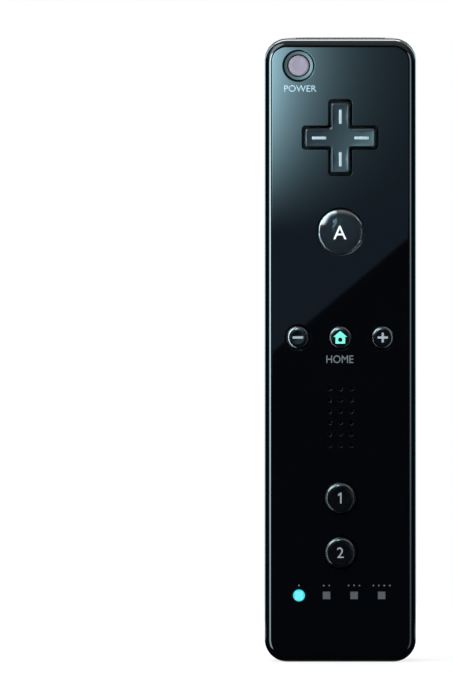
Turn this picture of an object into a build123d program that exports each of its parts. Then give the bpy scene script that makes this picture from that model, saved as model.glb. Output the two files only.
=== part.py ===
from build123d import *
import math
import os

os.makedirs("parts", exist_ok=True)

# A hand-held motion controller, standing on its tail, in millimetres.
# X runs to the right as the face is seen, Y from the face towards the back, Z from tail to nose.
# The origin is the middle of the accessory port's mouth, on the plane where the two shells meet.

# Outer body
body_length = 148.0
body_width = 36.0
face_depth = 7.9
grip_depth = 23.9
neck_depth = 13.2
nose_depth = 14.0
plan_corner_radius = 5.4
face_edge_radius = 1.8
tail_round_radius = 8.7
nose_round_radius = 3.5
grip_corner_radius = 9.0
nose_corner_radius = 6.0
shoulder_radius = 34.0
throat_radius = 16.0
slope_angle = 28.0
side_wall = 1.8
face_wall = 2.0
seam_chamfer = 0.3
overrun = 1.0
weld = 0.5  # how far a rib or post runs into the wall it stands on
slide_gap = 0.2
seat_gap = 0.1
small_sides = 12  # flat sides of a small round form
large_sides = 24

# Rebate along the housing's side edges
rebate_width = 1.2
rebate_depth = 0.5
rebate_low = 4.0
rebate_high = 100.0

# Battery cover
cover_edge_depth = 12.0
cover_low = 6.3
cover_climb = 5.3
cover_wall = 1.6
cover_corner_radius = 4.5
cover_seam = 0.45
land_half_width = 6.5
land_top = 8.0
slit_width = 0.6
slit_length = 9.0
dip_low = 11.4
dip_bottom = 12.6
dip_high = 14.9
dip_depth = 0.7
tongue_width = 4.5
tongue_place = 6.0
tongue_thickness = 1.2
tongue_reach = 2.4
tongue_root = 2.3
tongue_skin = 2.3

# Cells, their tub and contacts
cell_radius = 7.25
cell_length = 50.5
cell_pitch = 15.0
cell_side_gap = 0.25
cell_cover_gap = 0.4
cell_floor_gap = 0.3
nub_radius = 2.75
nub_height = 1.2
bay_low_least = 24.0
nose_least = 10.0
bay_share = 0.341
tray_thickness = 1.5
tub_gap = 0.35
tub_end_wall = 1.6
tub_end_drop = 1.55
deck_depth = 14.0
spring_length = 4.0
spring_base_radius = 3.3
spring_top_radius = 2.0
contact_thickness = 0.4
contact_width = 9.0
contact_height = 9.0
contact_gap = 0.1

# Circuit board and what stands on it
board_depth = 0.2
board_thickness = 1.2
board_port_gap = 0.6
board_nose_gap = 4.0
board_edge_gap = 0.6
board_corner_radius = 3.4

# Face controls, their heights as shares of the way from the indicator windows to the power button
pad_share = 0.8643
pad_span = 16.8
pad_arm = 4.6
pad_height = 2.5
pad_dish = 0.55
pad_corner_cut = 0.4
pad_hole_span = 17.85
pad_hole_arm = 5.3
pad_flange_span = 19.4
pad_flange_arm = 6.4
pad_flange_gap = 0.75
flange_thickness = 0.8
flange_lip = 1.0
flange_gap = 0.05
pivot_tip_radius = 0.8
pivot_tip_depth = 0.5
pivot_post_radius = 0.6
pivot_hole_radius = 1.3
pivot_play = 0.1
a_share = 0.6873
a_radius = 5.25
a_height = 1.9
a_crown = 1.5
menu_share = 0.4873
menu_pitch = 10.1
menu_radius = 2.75
menu_height = 1.05
one_share = 0.1841
two_share = 0.081
number_radius = 3.8
number_height = 1.45
power_x = -9.9
power_nose_gap = 6.2
power_radius = 2.45
power_height = 0.15
power_well_radius = 3.6
power_well_depth = 1.2
button_chamfer = 0.4

# Rubber under the controls
sheet_thickness = 0.8
dome_radius = 2.1
dome_margin = 0.9
pad_dome_place = 6.0

# Speaker
speaker_share = 0.3373
speaker_radius = 10.2
gasket_thickness = 0.8
gasket_width = 1.6
grille_radius = 0.5
grille_pitch_x = 2.57
grille_pitch_z = 2.7
grille_columns = 3
grille_rows = 6
cone_radius = 7.4
cone_depth = 0.6

# Indicator windows
window_port_gap = 2.2
window_pitch = 6.55
window_size = 1.77
window_count = 4
guide_thickness = 0.8
guide_margin = 1.2
lamp_width = 1.6
lamp_length = 1.0
lamp_height = 0.8

# Accessory port in the tail
port_width = 17.0
port_height = 7.2
port_wall = 1.1
port_depth = 12.0
port_back = 1.6
port_corner_radius = 1.0
port_tongue_width = 12.6
port_tongue_thickness = 1.4
port_tongue_start = 4.8
pin_count = 3
pin_pitch = 3.8
pin_width = 1.4
pin_thickness = 0.2

# Lanyard bar across a pocket at the tail's back edge
lanyard_width = 7.0
lanyard_low_depth = 12.8
lanyard_height = 5.0
lanyard_bar_radius = 1.1
lanyard_bar_depth = 17.8
lanyard_bar_z = 2.3

# Infrared window and camera in the nose
ir_width = 21.0
ir_height = 12.4
ir_centre_depth = 1.8
ir_corner_radius = 3.0
ir_lip = 0.8
ir_lip_thickness = 0.8
camera_width = 9.2
camera_height = 7.6
camera_length = 7.7
lens_radius = 3.0
lens_length = 2.0

# Trigger
trigger_width = 18.0
trigger_gap = 0.3
trigger_skin = 1.5
trigger_root_rise = 3.2
trigger_tip_inset = 0.2
trigger_tip_drop = 10.1
trigger_hollow = 2.5
trigger_tip_radius = 0.9
trigger_heel_inset = 3.9
trigger_heel_drop = 15.2
trigger_heel_bulge = 0.7
trigger_toe_reach = 2.8
trigger_belly_inset = 0.8
trigger_belly_drop = 12.4
pivot_inset = 3.8
pivot_rise = 1.8
pivot_boss_radius = 1.9
spring_room = 2.2
spring_room_width = 5.0
pin_radius = 1.0
pin_play = 0.05
bearing_thickness = 2.0
bearing_margin = 2.2
slot_gap = 0.5
slot_rise = 0.6
plunger_drop = 13.4
plunger_width = 2.4
plunger_height = 2.4
plunger_gap = 2.1
spring_wire = 0.4
spring_turns = 3
spring_play = 0.15

# Switches and small parts on the board's back
switch_width = 4.5
switch_height = 2.0
switch_key_radius = 0.9
switch_key_height = 0.7
sync_radius = 1.75
sync_height = 0.3
sync_flange_radius = 2.4
sync_flange_thickness = 0.8
sync_travel = 0.4
processor_share = 0.43
processor_size = 9.0
memory_x = 7.5
memory_share = 0.287
memory_width = 6.0
memory_length = 5.0
driver_x = -4.0
driver_share = 0.577
driver_width = 4.0
driver_length = 3.0
chip_height = 0.9
shield_x = 7.6
shield_share = 0.545
shield_width = 12.0
shield_length = 14.0
shield_height = 2.2
sensor_x = -5.5
sensor_share = 0.652
sensor_size = 5.0
sensor_height = 1.3

# Rumble motor
motor_x = -12.3
motor_depth = 2.2
motor_radius = 3.2
motor_share = 0.16
motor_length = 12.0
motor_shaft_radius = 0.5
motor_shaft_length = 5.4
weight_radius = 3.0
weight_length = 4.0
weight_start = 0.8
weight_hub_radius = 1.2
motor_notch_gap = 0.5

# Screws
screw_x = 12.7
screw_nose_share = 0.919
screw_window_gap = 4.7
screw_radius = 1.0
screw_head_radius = 1.9
screw_head_height = 1.4
screw_play = 0.05
screw_seat_depth = 4.4
screw_reach = 4.6
boss_radius = 2.4
boss_top = 0.3
post_radius = 3.0
board_notch_gap = 0.4


# Places along the wand, from tail to nose
port_end = port_depth + port_back
board_low = port_end + board_port_gap
board_high = body_length - board_nose_gap
window_z = port_end + window_port_gap
power_z = body_length - power_nose_gap
control_span = power_z - window_z
screw_tail_z = window_z + screw_window_gap
sync_z = screw_tail_z
two_z = window_z + two_share * control_span
one_z = window_z + one_share * control_span
motor_low = window_z + motor_share * control_span
memory_z = window_z + memory_share * control_span
speaker_z = window_z + speaker_share * control_span
processor_z = window_z + processor_share * control_span
menu_z = window_z + menu_share * control_span
shield_z = window_z + shield_share * control_span
driver_z = window_z + driver_share * control_span
sensor_z = window_z + sensor_share * control_span
a_z = window_z + a_share * control_span
pad_z = window_z + pad_share * control_span
screw_nose_z = window_z + screw_nose_share * control_span

# The back's profile: the bay's length and the shoulder's arcs leave a rest, which tail and nose share
slope = math.radians(slope_angle)
shoulder_run = shoulder_radius * math.sin(slope)
shoulder_drop = shoulder_radius * (1 - math.cos(slope))
throat_run = throat_radius * math.sin(slope)
throat_drop = throat_radius * (1 - math.cos(slope))
slope_drop = grip_depth - neck_depth - shoulder_drop - throat_drop
slope_run = slope_drop / math.tan(slope)
shoulder_length = shoulder_run + slope_run + throat_run
bay_length = cell_length + spring_length + contact_thickness + contact_gap
rest_length = body_length - bay_length - shoulder_length - bay_low_least - nose_least
bay_low = bay_low_least + bay_share * rest_length
bay_high = bay_low + bay_length
grip_end = bay_high
cover_high = grip_end + cover_climb
neck_start = grip_end + shoulder_length

# Depths and widths
inner_face = face_wall - face_depth
cell_axis_depth = grip_depth - cover_wall - cell_cover_gap - cell_radius
tray_depth = cell_axis_depth - cell_radius - cell_floor_gap
board_room_depth = tray_depth - tray_thickness
bay_half_width = cell_pitch / 2 + cell_radius + cell_side_gap
tub_depth = grip_depth - cover_wall - tub_gap
tub_half_width = body_width / 2 - cover_wall - tub_gap
shoulder_room_low = cover_high + cover_seam + side_wall
board_front = -board_depth - board_thickness
sheet_front = board_front - sheet_thickness
flange_back = inner_face + flange_gap + flange_thickness
pad_flange_back = inner_face + pad_flange_gap + flange_thickness
quarter_turn = math.pi / 2

# The trigger's corners and pivot, from the neck
trigger_root_depth = neck_depth
trigger_root_z = neck_start + trigger_root_rise
trigger_tip_depth = grip_depth - trigger_tip_inset
trigger_tip_z = neck_start - trigger_tip_drop
trigger_heel_depth = grip_depth - trigger_heel_inset
trigger_heel_z = neck_start - trigger_heel_drop
trigger_belly_depth = neck_depth - trigger_belly_inset
trigger_belly_z = neck_start - trigger_belly_drop
pivot_depth = neck_depth - pivot_inset
pivot_z = neck_start + pivot_rise
plunger_z = neck_start - plunger_drop

# How finely the rounded ends and the shoulder are cut into straight bands
tail_steps = 6
arc_steps = 4
slope_steps = 2
nose_steps = 5


def facing(depth):
    """A sketch plane that looks out of the face, its own axes along X and Z, at this depth."""
    return Plane.XZ.offset(-depth)


def save(piece, label):
    """Names a finished piece and writes it."""
    piece.part.label = label
    export_step(piece.part, f"parts/{label}.step")


def end_inset(radius, gap):
    """How far a quarter round draws an edge in, at this gap from the round's own end."""
    if gap >= radius:
        return 0
    return radius - math.sqrt(radius**2 - (radius - gap) ** 2)


def back_depth(z):
    """The back's profile: straight grip, shoulder arc, slope, throat arc and nearly flat nose."""
    climb = z - grip_end
    if climb <= 0:
        return grip_depth
    if climb <= shoulder_run:
        return grip_depth - shoulder_radius + math.sqrt(shoulder_radius**2 - climb**2)
    if climb <= shoulder_run + slope_run:
        return grip_depth - shoulder_drop - (climb - shoulder_run) * math.tan(slope)
    if z < neck_start:
        return neck_depth + throat_radius - math.sqrt(throat_radius**2 - (neck_start - z) ** 2)
    return neck_depth + (nose_depth - neck_depth) * (z - neck_start) / (body_length - neck_start)


def rounded_back(half_width, depth, corner, z):
    """A cross section at height z: square in front, its two back corners round."""
    with BuildSketch(Plane.XY.offset(z)) as section:
        with Locations((0, (depth - overrun) / 2)):
            Rectangle(2 * half_width, depth + overrun)
        fillet(section.vertices().group_by(Axis.Y)[-1], radius=corner)
    return section.sketch


def outer_section(z):
    """The body's own cross section behind the parting plane."""
    half_width = body_width / 2 - end_inset(plan_corner_radius, min(z, body_length - z))
    tail_inset = end_inset(tail_round_radius, z)
    nose_inset = end_inset(nose_round_radius, body_length - z)
    share = min(max((z - grip_end) / (neck_start - grip_end), 0), 1)
    blend = share * share * (3 - 2 * share)
    corner = grip_corner_radius + (nose_corner_radius - grip_corner_radius) * blend
    return rounded_back(half_width, back_depth(z) - tail_inset - nose_inset, corner, z)


def end_stations(radius, steps):
    """Gaps from an end that lie evenly round a quarter circle."""
    return [radius * (1 - math.cos(quarter_turn * i / steps)) for i in range(steps + 1)]


def between(low, high, steps):
    """Evenly spaced heights."""
    return [low + (high - low) * i / steps for i in range(steps + 1)]


# The whole body behind the parting plane, from which the housing and the battery cover are cut
slope_start = grip_end + shoulder_run
slope_end = slope_start + slope_run
tail_heights = end_stations(tail_round_radius, tail_steps)
nose_end_start = body_length - plan_corner_radius
shoulder_heights = (
    between(grip_end, slope_start, arc_steps)
    + between(slope_start, slope_end, slope_steps)[1:]
    + between(slope_end, neck_start, arc_steps)[1:]
    + between(neck_start, nose_end_start, nose_steps)[1:-1]
)
nose_heights = [body_length - gap for gap in end_stations(plan_corner_radius, nose_steps)]
with BuildPart() as rear_form:
    loft(sections=[outer_section(z) for z in tail_heights], ruled=True)
    extrude(outer_section(tail_round_radius), amount=grip_end - tail_round_radius)
    loft(sections=[outer_section(z) for z in shoulder_heights + nose_heights[::-1]], ruled=True)


def cover_zone(margin):
    """The space of the battery cover, grown by a margin: a side outline with two round corners,
    less the land that the housing keeps at the tail's middle."""
    reach = grip_depth + overrun - cover_edge_depth + margin
    height = cover_high - cover_low + 2 * margin
    land = land_half_width + cover_seam - margin
    land_height = land_top + cover_seam - margin - (cover_low - margin)
    with BuildPart() as zone:
        with BuildSketch(Plane.YZ) as outline:
            with Locations((cover_edge_depth - margin + reach / 2, (cover_low + cover_high) / 2)):
                Rectangle(reach, height)
            fillet(outline.vertices().group_by(Axis.X)[0], radius=cover_corner_radius + margin)
        extrude(amount=body_width / 2 + overrun, both=True)
        with BuildSketch(Plane.XY.offset(cover_low - margin)):
            with Locations((0, grip_depth)):
                Rectangle(2 * land, 2 * (grip_depth - cover_edge_depth))
        extrude(amount=land_height, mode=Mode.SUBTRACT)
    return zone.part


# Front shell: a shallow tray with a rounded face edge, cut out for every control
with BuildPart() as front_shell:
    with BuildSketch(facing(0)):
        with Locations((0, body_length / 2)):
            RectangleRounded(body_width, body_length, plan_corner_radius)
    extrude(amount=face_depth)
    fillet(front_shell.faces().sort_by(Axis.Y)[0].edges(), radius=face_edge_radius)
    chamfer(front_shell.faces().sort_by(Axis.Y)[-1].edges(), length=seam_chamfer)
    with BuildSketch(facing(0)):
        with Locations((0, body_length / 2)):
            RectangleRounded(
                body_width - 2 * side_wall,
                body_length - 2 * side_wall,
                plan_corner_radius - side_wall,
            )
    extrude(amount=-inner_face, mode=Mode.SUBTRACT)
    with BuildSketch(facing(inner_face + overrun)):
        with Locations((0, pad_z)):
            Rectangle(pad_hole_span, pad_hole_arm)
            Rectangle(pad_hole_arm, pad_hole_span)
        with Locations((0, a_z)):
            Circle(a_radius + slide_gap)
        with Locations((-menu_pitch, menu_z), (0, menu_z), (menu_pitch, menu_z)):
            RegularPolygon(menu_radius + slide_gap, large_sides)
        with Locations((0, one_z), (0, two_z)):
            RegularPolygon(number_radius + slide_gap, large_sides)
        with Locations((power_x, power_z)):
            RegularPolygon(power_radius + slide_gap, large_sides)
        with Locations((0, speaker_z)):
            with GridLocations(grille_pitch_x, grille_pitch_z, grille_columns, grille_rows):
                RegularPolygon(grille_radius, small_sides)
        with Locations((0, window_z)):
            with GridLocations(window_pitch, window_size, window_count, 1):
                Rectangle(window_size + 2 * seat_gap, window_size + 2 * seat_gap)
    extrude(amount=face_wall + 2 * overrun, mode=Mode.SUBTRACT)
    with BuildSketch(facing(-face_depth + power_well_depth)):
        with Locations((power_x, power_z)):
            RegularPolygon(power_well_radius, large_sides)
    extrude(amount=power_well_depth + overrun, mode=Mode.SUBTRACT)
    with BuildSketch(facing(inner_face)):
        with Locations(
            (-screw_x, screw_nose_z),
            (screw_x, screw_nose_z),
            (-screw_x, screw_tail_z),
            (screw_x, screw_tail_z),
        ):
            RegularPolygon(boss_radius, small_sides)
            RegularPolygon(screw_radius + screw_play, small_sides, major_radius=False, mode=Mode.SUBTRACT)
    extrude(amount=inner_face + boss_top)
    with BuildSketch(Plane.XY.offset(-overrun)):
        Rectangle(port_width + 2 * (port_wall + seat_gap), port_height + 2 * (port_wall + seat_gap))
    extrude(amount=side_wall + 2 * overrun, mode=Mode.SUBTRACT)
    with BuildSketch(Plane.XY.offset(body_length - side_wall - overrun)):
        with Locations((0, ir_centre_depth)):
            RectangleRounded(ir_width + 2 * seat_gap, ir_height + 2 * seat_gap, ir_corner_radius)
    extrude(amount=side_wall + 2 * overrun, mode=Mode.SUBTRACT)
save(front_shell, "front_shell")

# Rear housing: the other half, with the battery tub, the trigger slot and the lanyard pocket
tub_corner_radius = grip_corner_radius - cover_wall - tub_gap
tub_high = bay_high + tub_end_wall
tub_end_depth = tub_depth - tub_end_drop
slot_low_depth = trigger_heel_depth
slot_low_z = trigger_heel_z - slot_gap
slot_top_z = trigger_root_z + slot_rise
slot_half_width = trigger_width / 2 + trigger_gap
nose_inner_depth = neck_depth - side_wall
with BuildPart() as rear_housing:
    add(rear_form.part)
    add(cover_zone(cover_seam), mode=Mode.SUBTRACT)
    extrude(
        rounded_back(tub_half_width, tub_depth, tub_corner_radius, cover_low - cover_seam),
        amount=tub_high - cover_low + cover_seam,
    )
    split(bisect_by=Plane.XZ, keep=Keep.BOTTOM)
    # Deck over the tail, then the tub's low side walls and its two end walls
    deck_reach = grip_depth + overrun
    with BuildSketch(Plane.XY.offset(land_top)):
        with Locations((0, (deck_depth + deck_reach) / 2)):
            Rectangle(body_width + overrun, deck_reach - deck_depth)
    extrude(amount=bay_low - tub_end_wall - land_top, mode=Mode.SUBTRACT)
    with BuildSketch(Plane.XY.offset(cover_low - cover_seam)):
        with Locations((0, (deck_depth + deck_reach) / 2)):
            Rectangle(body_width + overrun, deck_reach - deck_depth)
            Rectangle(2 * land_half_width, deck_reach - deck_depth, mode=Mode.SUBTRACT)
    extrude(amount=land_top - cover_low + cover_seam, mode=Mode.SUBTRACT)
    with BuildSketch(Plane.XY.offset(bay_low - tub_end_wall)):
        with Locations((0, (tub_end_depth + deck_reach) / 2)):
            Rectangle(body_width + overrun, deck_reach - tub_end_depth)
    extrude(amount=tub_high - bay_low + tub_end_wall, mode=Mode.SUBTRACT)
    with BuildSketch(Plane.XY.offset(bay_low)):
        with Locations((0, (cell_axis_depth + deck_reach) / 2)):
            Rectangle(body_width + overrun, deck_reach - cell_axis_depth)
        with Locations((0, (tray_depth + deck_reach) / 2)):
            Rectangle(2 * bay_half_width, deck_reach - tray_depth)
    extrude(amount=bay_high - bay_low, mode=Mode.SUBTRACT)
    # Room for the board, then the nose
    with BuildSketch(facing(0)):
        with Locations((0, body_length / 2)):
            RectangleRounded(
                body_width - 2 * side_wall,
                body_length - 2 * side_wall,
                plan_corner_radius - side_wall,
            )
    extrude(amount=-board_room_depth, mode=Mode.SUBTRACT)
    extrude(
        rounded_back(
            body_width / 2 - side_wall,
            nose_inner_depth,
            nose_corner_radius - side_wall,
            shoulder_room_low,
        ),
        amount=body_length - side_wall - shoulder_room_low,
        mode=Mode.SUBTRACT,
    )
    with BuildSketch(Plane.YZ) as shoulder_room:
        with BuildLine():
            Polyline(
                (0, shoulder_room_low),
                (back_depth(shoulder_room_low) - side_wall, shoulder_room_low),
                (back_depth(grip_end + shoulder_run) - side_wall, grip_end + shoulder_run),
                (back_depth(neck_start - throat_run) - side_wall, neck_start - throat_run),
                (nose_inner_depth, neck_start),
                (0, neck_start),
                close=True,
            )
        make_face()
    extrude(amount=slot_half_width + bearing_thickness, both=True, mode=Mode.SUBTRACT)
    # Slots under the shoulder's edge for the cover's tongues
    tongue_back = back_depth(cover_high) - tongue_skin + tongue_thickness + slide_gap
    tongue_front = back_depth(cover_high) - tongue_skin - tongue_thickness
    with BuildSketch(Plane.XY.offset(cover_high)):
        with Locations((-tongue_place, (tongue_front + tongue_back) / 2)):
            Rectangle(tongue_width + 2 * slide_gap, tongue_back - tongue_front)
        with Locations((tongue_place, (tongue_front + tongue_back) / 2)):
            Rectangle(tongue_width + 2 * slide_gap, tongue_back - tongue_front)
    extrude(amount=shoulder_room_low - cover_high + overrun, mode=Mode.SUBTRACT)
    # Trigger slot, its low wall leaning as the trigger's heel does
    slot_reach = grip_depth + overrun
    with BuildSketch(Plane.YZ):
        with BuildLine():
            Polyline(
                (nose_inner_depth - overrun, slot_top_z),
                (slot_reach, slot_top_z),
                (slot_reach, slot_low_z + slot_reach - slot_low_depth),
                (nose_inner_depth - overrun, slot_low_z + nose_inner_depth - overrun - slot_low_depth),
                close=True,
            )
        make_face()
    extrude(amount=slot_half_width, both=True, mode=Mode.SUBTRACT)
    # Bearings for the trigger's pin
    for side in (-1, 1):
        with BuildSketch(Plane.YZ.offset(side * (slot_half_width + bearing_thickness / 2))):
            with Locations(((pivot_depth - bearing_margin + nose_inner_depth + weld) / 2, pivot_z)):
                Rectangle(nose_inner_depth + weld - pivot_depth + bearing_margin, 2 * bearing_margin)
            with Locations((pivot_depth, pivot_z)):
                Circle(pin_radius, mode=Mode.SUBTRACT)
        extrude(amount=bearing_thickness / 2, both=True)
    # Screw posts behind the bosses, with their head recesses
    for post_z, post_back in ((screw_nose_z, nose_inner_depth), (screw_tail_z, board_room_depth)):
        with BuildSketch(facing(0)):
            with Locations((-screw_x, post_z), (screw_x, post_z)):
                RegularPolygon(post_radius, small_sides)
        extrude(amount=-post_back - weld)
    with BuildSketch(facing(-overrun)):
        with Locations(
            (-screw_x, screw_nose_z),
            (screw_x, screw_nose_z),
            (-screw_x, screw_tail_z),
            (screw_x, screw_tail_z),
        ):
            RegularPolygon(screw_radius + screw_play, small_sides, major_radius=False)
    extrude(amount=-screw_seat_depth - 2 * overrun, mode=Mode.SUBTRACT)
    with BuildSketch(facing(screw_seat_depth)):
        with Locations(
            (-screw_x, screw_nose_z),
            (screw_x, screw_nose_z),
            (-screw_x, screw_tail_z),
            (screw_x, screw_tail_z),
        ):
            RegularPolygon(screw_head_radius + slide_gap, large_sides, major_radius=False)
    extrude(amount=screw_seat_depth - grip_depth, mode=Mode.SUBTRACT)
    # Sync button's hole in the deck
    with BuildSketch(facing(0)):
        with Locations((0, sync_z)):
            RegularPolygon(sync_radius + slide_gap, large_sides)
    extrude(amount=-grip_depth, mode=Mode.SUBTRACT)
    # Lanyard pocket with its bar
    with BuildSketch(Plane.XY.offset(-overrun)):
        with Locations((0, lanyard_low_depth + tail_round_radius / 2)):
            Rectangle(lanyard_width, tail_round_radius)
    extrude(amount=lanyard_height + overrun, mode=Mode.SUBTRACT)
    with BuildSketch(Plane.YZ):
        with Locations((lanyard_bar_depth, lanyard_bar_z)):
            RegularPolygon(lanyard_bar_radius, small_sides)
    extrude(amount=lanyard_width / 2 + overrun, both=True)
    # Mouths for the accessory port and the infrared window
    with BuildSketch(Plane.XY.offset(-overrun)):
        Rectangle(port_width + 2 * (port_wall + seat_gap), port_height + 2 * (port_wall + seat_gap))
    extrude(amount=side_wall + 2 * overrun, mode=Mode.SUBTRACT)
    with BuildSketch(Plane.XY.offset(body_length - side_wall - overrun)):
        with Locations((0, ir_centre_depth)):
            RectangleRounded(ir_width + 2 * seat_gap, ir_height + 2 * seat_gap, ir_corner_radius)
    extrude(amount=side_wall + 2 * overrun, mode=Mode.SUBTRACT)
    # Rebate behind the parting line
    for side in (-1, 1):
        with BuildSketch(facing(0)):
            with Locations((side * body_width / 2, (rebate_low + rebate_high) / 2)):
                Rectangle(2 * rebate_depth, rebate_high - rebate_low)
        extrude(amount=-rebate_width, mode=Mode.SUBTRACT)
save(rear_housing, "rear_housing")

# Battery cover: the grip's back skin, with a springy latch tongue and two hooking tongues
with BuildPart() as battery_cover:
    add(rear_form.part)
    add(cover_zone(0), mode=Mode.INTERSECT)
    extrude(
        rounded_back(
            body_width / 2 - cover_wall,
            grip_depth - cover_wall,
            grip_corner_radius - cover_wall,
            cover_low - overrun,
        ),
        amount=cover_high - cover_low + 2 * overrun,
        mode=Mode.SUBTRACT,
    )
    with BuildSketch(facing(cover_edge_depth)):
        for side in (-1, 1):
            with Locations((side * (land_half_width + slit_width / 2), land_top + slit_length / 2)):
                Rectangle(slit_width, slit_length)
    extrude(amount=cover_edge_depth - grip_depth - overrun, mode=Mode.SUBTRACT)
    with BuildSketch(Plane.YZ):
        with BuildLine():
            Polyline(
                (grip_depth, dip_high),
                (grip_depth - dip_depth, dip_bottom),
                (grip_depth - dip_depth, dip_low),
                (grip_depth + dip_depth, dip_low),
                (grip_depth + dip_depth, dip_high),
                close=True,
            )
        make_face()
    extrude(amount=land_half_width, both=True, mode=Mode.SUBTRACT)
    tongue_outer = back_depth(cover_high) - tongue_skin + tongue_thickness
    for side in (-1, 1):
        with BuildSketch(Plane.YZ.offset(side * tongue_place)):
            with BuildLine():
                Polyline(
                    (tongue_outer - tongue_thickness, cover_high - tongue_root),
                    (grip_depth - cover_wall / 2, cover_high - tongue_root),
                    (grip_depth - cover_wall / 2, cover_high),
                    (tongue_outer, cover_high),
                    (tongue_outer, cover_high + tongue_reach),
                    (tongue_outer - tongue_thickness, cover_high + tongue_reach),
                    close=True,
                )
            make_face()
        extrude(amount=tongue_width / 2, both=True)
save(battery_cover, "battery_cover")


def face_button(x, z, radius, height, name):
    """A round button: chamfered rim, stem through the shell and a square flange that can't turn."""
    with BuildPart() as button:
        with BuildSketch(facing(flange_back)):
            with Locations((x, z)):
                RegularPolygon(radius, large_sides)
        extrude(amount=flange_back + face_depth + height)
        chamfer(button.faces().sort_by(Axis.Y)[0].edges(), length=button_chamfer)
        with BuildSketch(facing(flange_back)):
            with Locations((x, z)):
                Rectangle(2 * (radius + flange_lip), 2 * (radius + flange_lip))
        extrude(amount=flange_thickness)
    save(button, name)


face_button(-menu_pitch, menu_z, menu_radius, menu_height, "minus_button")
face_button(0, menu_z, menu_radius, menu_height, "home_button")
face_button(menu_pitch, menu_z, menu_radius, menu_height, "plus_button")
face_button(0, one_z, number_radius, number_height, "one_button")
face_button(0, two_z, number_radius, number_height, "two_button")
face_button(power_x, power_z, power_radius, power_height, "power_button")

# Domed button: a clear lens over a dark core, whose square flange can't turn
a_top = -face_depth - a_height
a_dome_radius = (a_radius**2 + a_crown**2) / (2 * a_crown)
a_joint = -face_depth
with BuildPart() as a_button:
    with BuildSketch(facing(a_joint)):
        with Locations((0, a_z)):
            Circle(a_radius)
    extrude(amount=a_height)
    with Locations((0, a_top + a_dome_radius, a_z)):
        Sphere(a_dome_radius, mode=Mode.INTERSECT)
save(a_button, "a_button")
with BuildPart() as a_core:
    with BuildSketch(facing(flange_back)):
        with Locations((0, a_z)):
            RegularPolygon(a_radius, large_sides)
    extrude(amount=flange_back - a_joint)
    with BuildSketch(facing(flange_back)):
        with Locations((0, a_z)):
            Rectangle(2 * (a_radius + flange_lip), 2 * (a_radius + flange_lip))
    extrude(amount=flange_thickness)
save(a_core, "a_core")

# Direction pad: a dished cross with a cross flange, rocking on the tip of a short post
pad_top = -face_depth - pad_height
pad_dish_radius = ((pad_span / 2) ** 2 + pad_dish**2) / (2 * pad_dish)
pivot_tip = pad_flange_back - pivot_tip_depth
with BuildPart() as direction_pad:
    with BuildSketch(facing(pad_flange_back)) as cross:
        with Locations((0, pad_z)):
            Rectangle(pad_span, pad_arm)
            Rectangle(pad_arm, pad_span)
        chamfer(
            cross.vertices().group_by(Axis.Y)[0]
            + cross.vertices().group_by(Axis.Y)[-1]
            + cross.vertices().group_by(Axis.X)[0]
            + cross.vertices().group_by(Axis.X)[-1],
            length=pad_corner_cut,
        )
    extrude(amount=pad_flange_back - pad_top)
    with Locations((0, pad_top - pad_dish_radius + pad_dish, pad_z)):
        Sphere(pad_dish_radius, mode=Mode.SUBTRACT)
    with BuildSketch(facing(pad_flange_back)):
        with Locations((0, pad_z)):
            Rectangle(pad_flange_span, pad_flange_arm)
            Rectangle(pad_flange_arm, pad_flange_span)
    extrude(amount=flange_thickness)
    with BuildSketch(facing(pad_flange_back)):
        with Locations((0, pad_z)):
            RegularPolygon(pivot_tip_radius + pivot_play, small_sides)
    extrude(amount=pivot_tip_depth + pivot_play, mode=Mode.SUBTRACT)
save(direction_pad, "direction_pad")
with BuildPart() as direction_pad_pivot:
    with BuildSketch(facing(board_front - pivot_play)):
        with Locations((0, pad_z)):
            RegularPolygon(pivot_post_radius, small_sides)
    extrude(amount=board_front - pivot_play - pad_flange_back)
    with BuildSketch(facing(pad_flange_back)):
        with Locations((0, pad_z)):
            RegularPolygon(pivot_tip_radius, small_sides)
    extrude(amount=pivot_tip_depth)
save(direction_pad_pivot, "direction_pad_pivot")


def membrane(low, high, half_width, middle_x, domes, name, hole=0):
    """A rubber sheet on the board with one hollow dome under each control."""
    with BuildPart() as sheet:
        with BuildSketch(facing(board_front)):
            with Locations((middle_x, (low + high) / 2)):
                Rectangle(2 * half_width, high - low)
            if hole:
                with Locations((middle_x, (low + high) / 2)):
                    RegularPolygon(hole, small_sides, mode=Mode.SUBTRACT)
        extrude(amount=sheet_thickness)
        for x, z, top in domes:
            with BuildSketch(facing(sheet_front)):
                with Locations((x, z)):
                    RegularPolygon(dome_radius, small_sides)
            extrude(amount=sheet_front - top)
    save(sheet, name)


dome_reach = dome_radius + dome_margin
membrane(
    power_z - dome_reach,
    min(power_z + dome_reach, board_high),
    dome_reach,
    power_x,
    [(power_x, power_z, flange_back)],
    "power_membrane",
)
membrane(a_z - dome_reach, a_z + dome_reach, dome_reach, 0, [(0, a_z, flange_back)], "a_membrane")
membrane(
    menu_z - dome_reach,
    menu_z + dome_reach,
    menu_pitch + dome_reach,
    0,
    [(i * menu_pitch, menu_z, flange_back) for i in (-1, 0, 1)],
    "menu_membrane",
)
membrane(
    two_z - dome_reach,
    one_z + dome_reach,
    dome_reach,
    0,
    [(0, one_z, flange_back), (0, two_z, flange_back)],
    "number_membrane",
)
membrane(
    pad_z - pad_dome_place - dome_reach,
    pad_z + pad_dome_place + dome_reach,
    pad_dome_place + dome_reach,
    0,
    [
        (-pad_dome_place, pad_z, pad_flange_back),
        (pad_dome_place, pad_z, pad_flange_back),
        (0, pad_z - pad_dome_place, pad_flange_back),
        (0, pad_z + pad_dome_place, pad_flange_back),
    ],
    "direction_membrane",
    hole=pivot_hole_radius,
)

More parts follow.
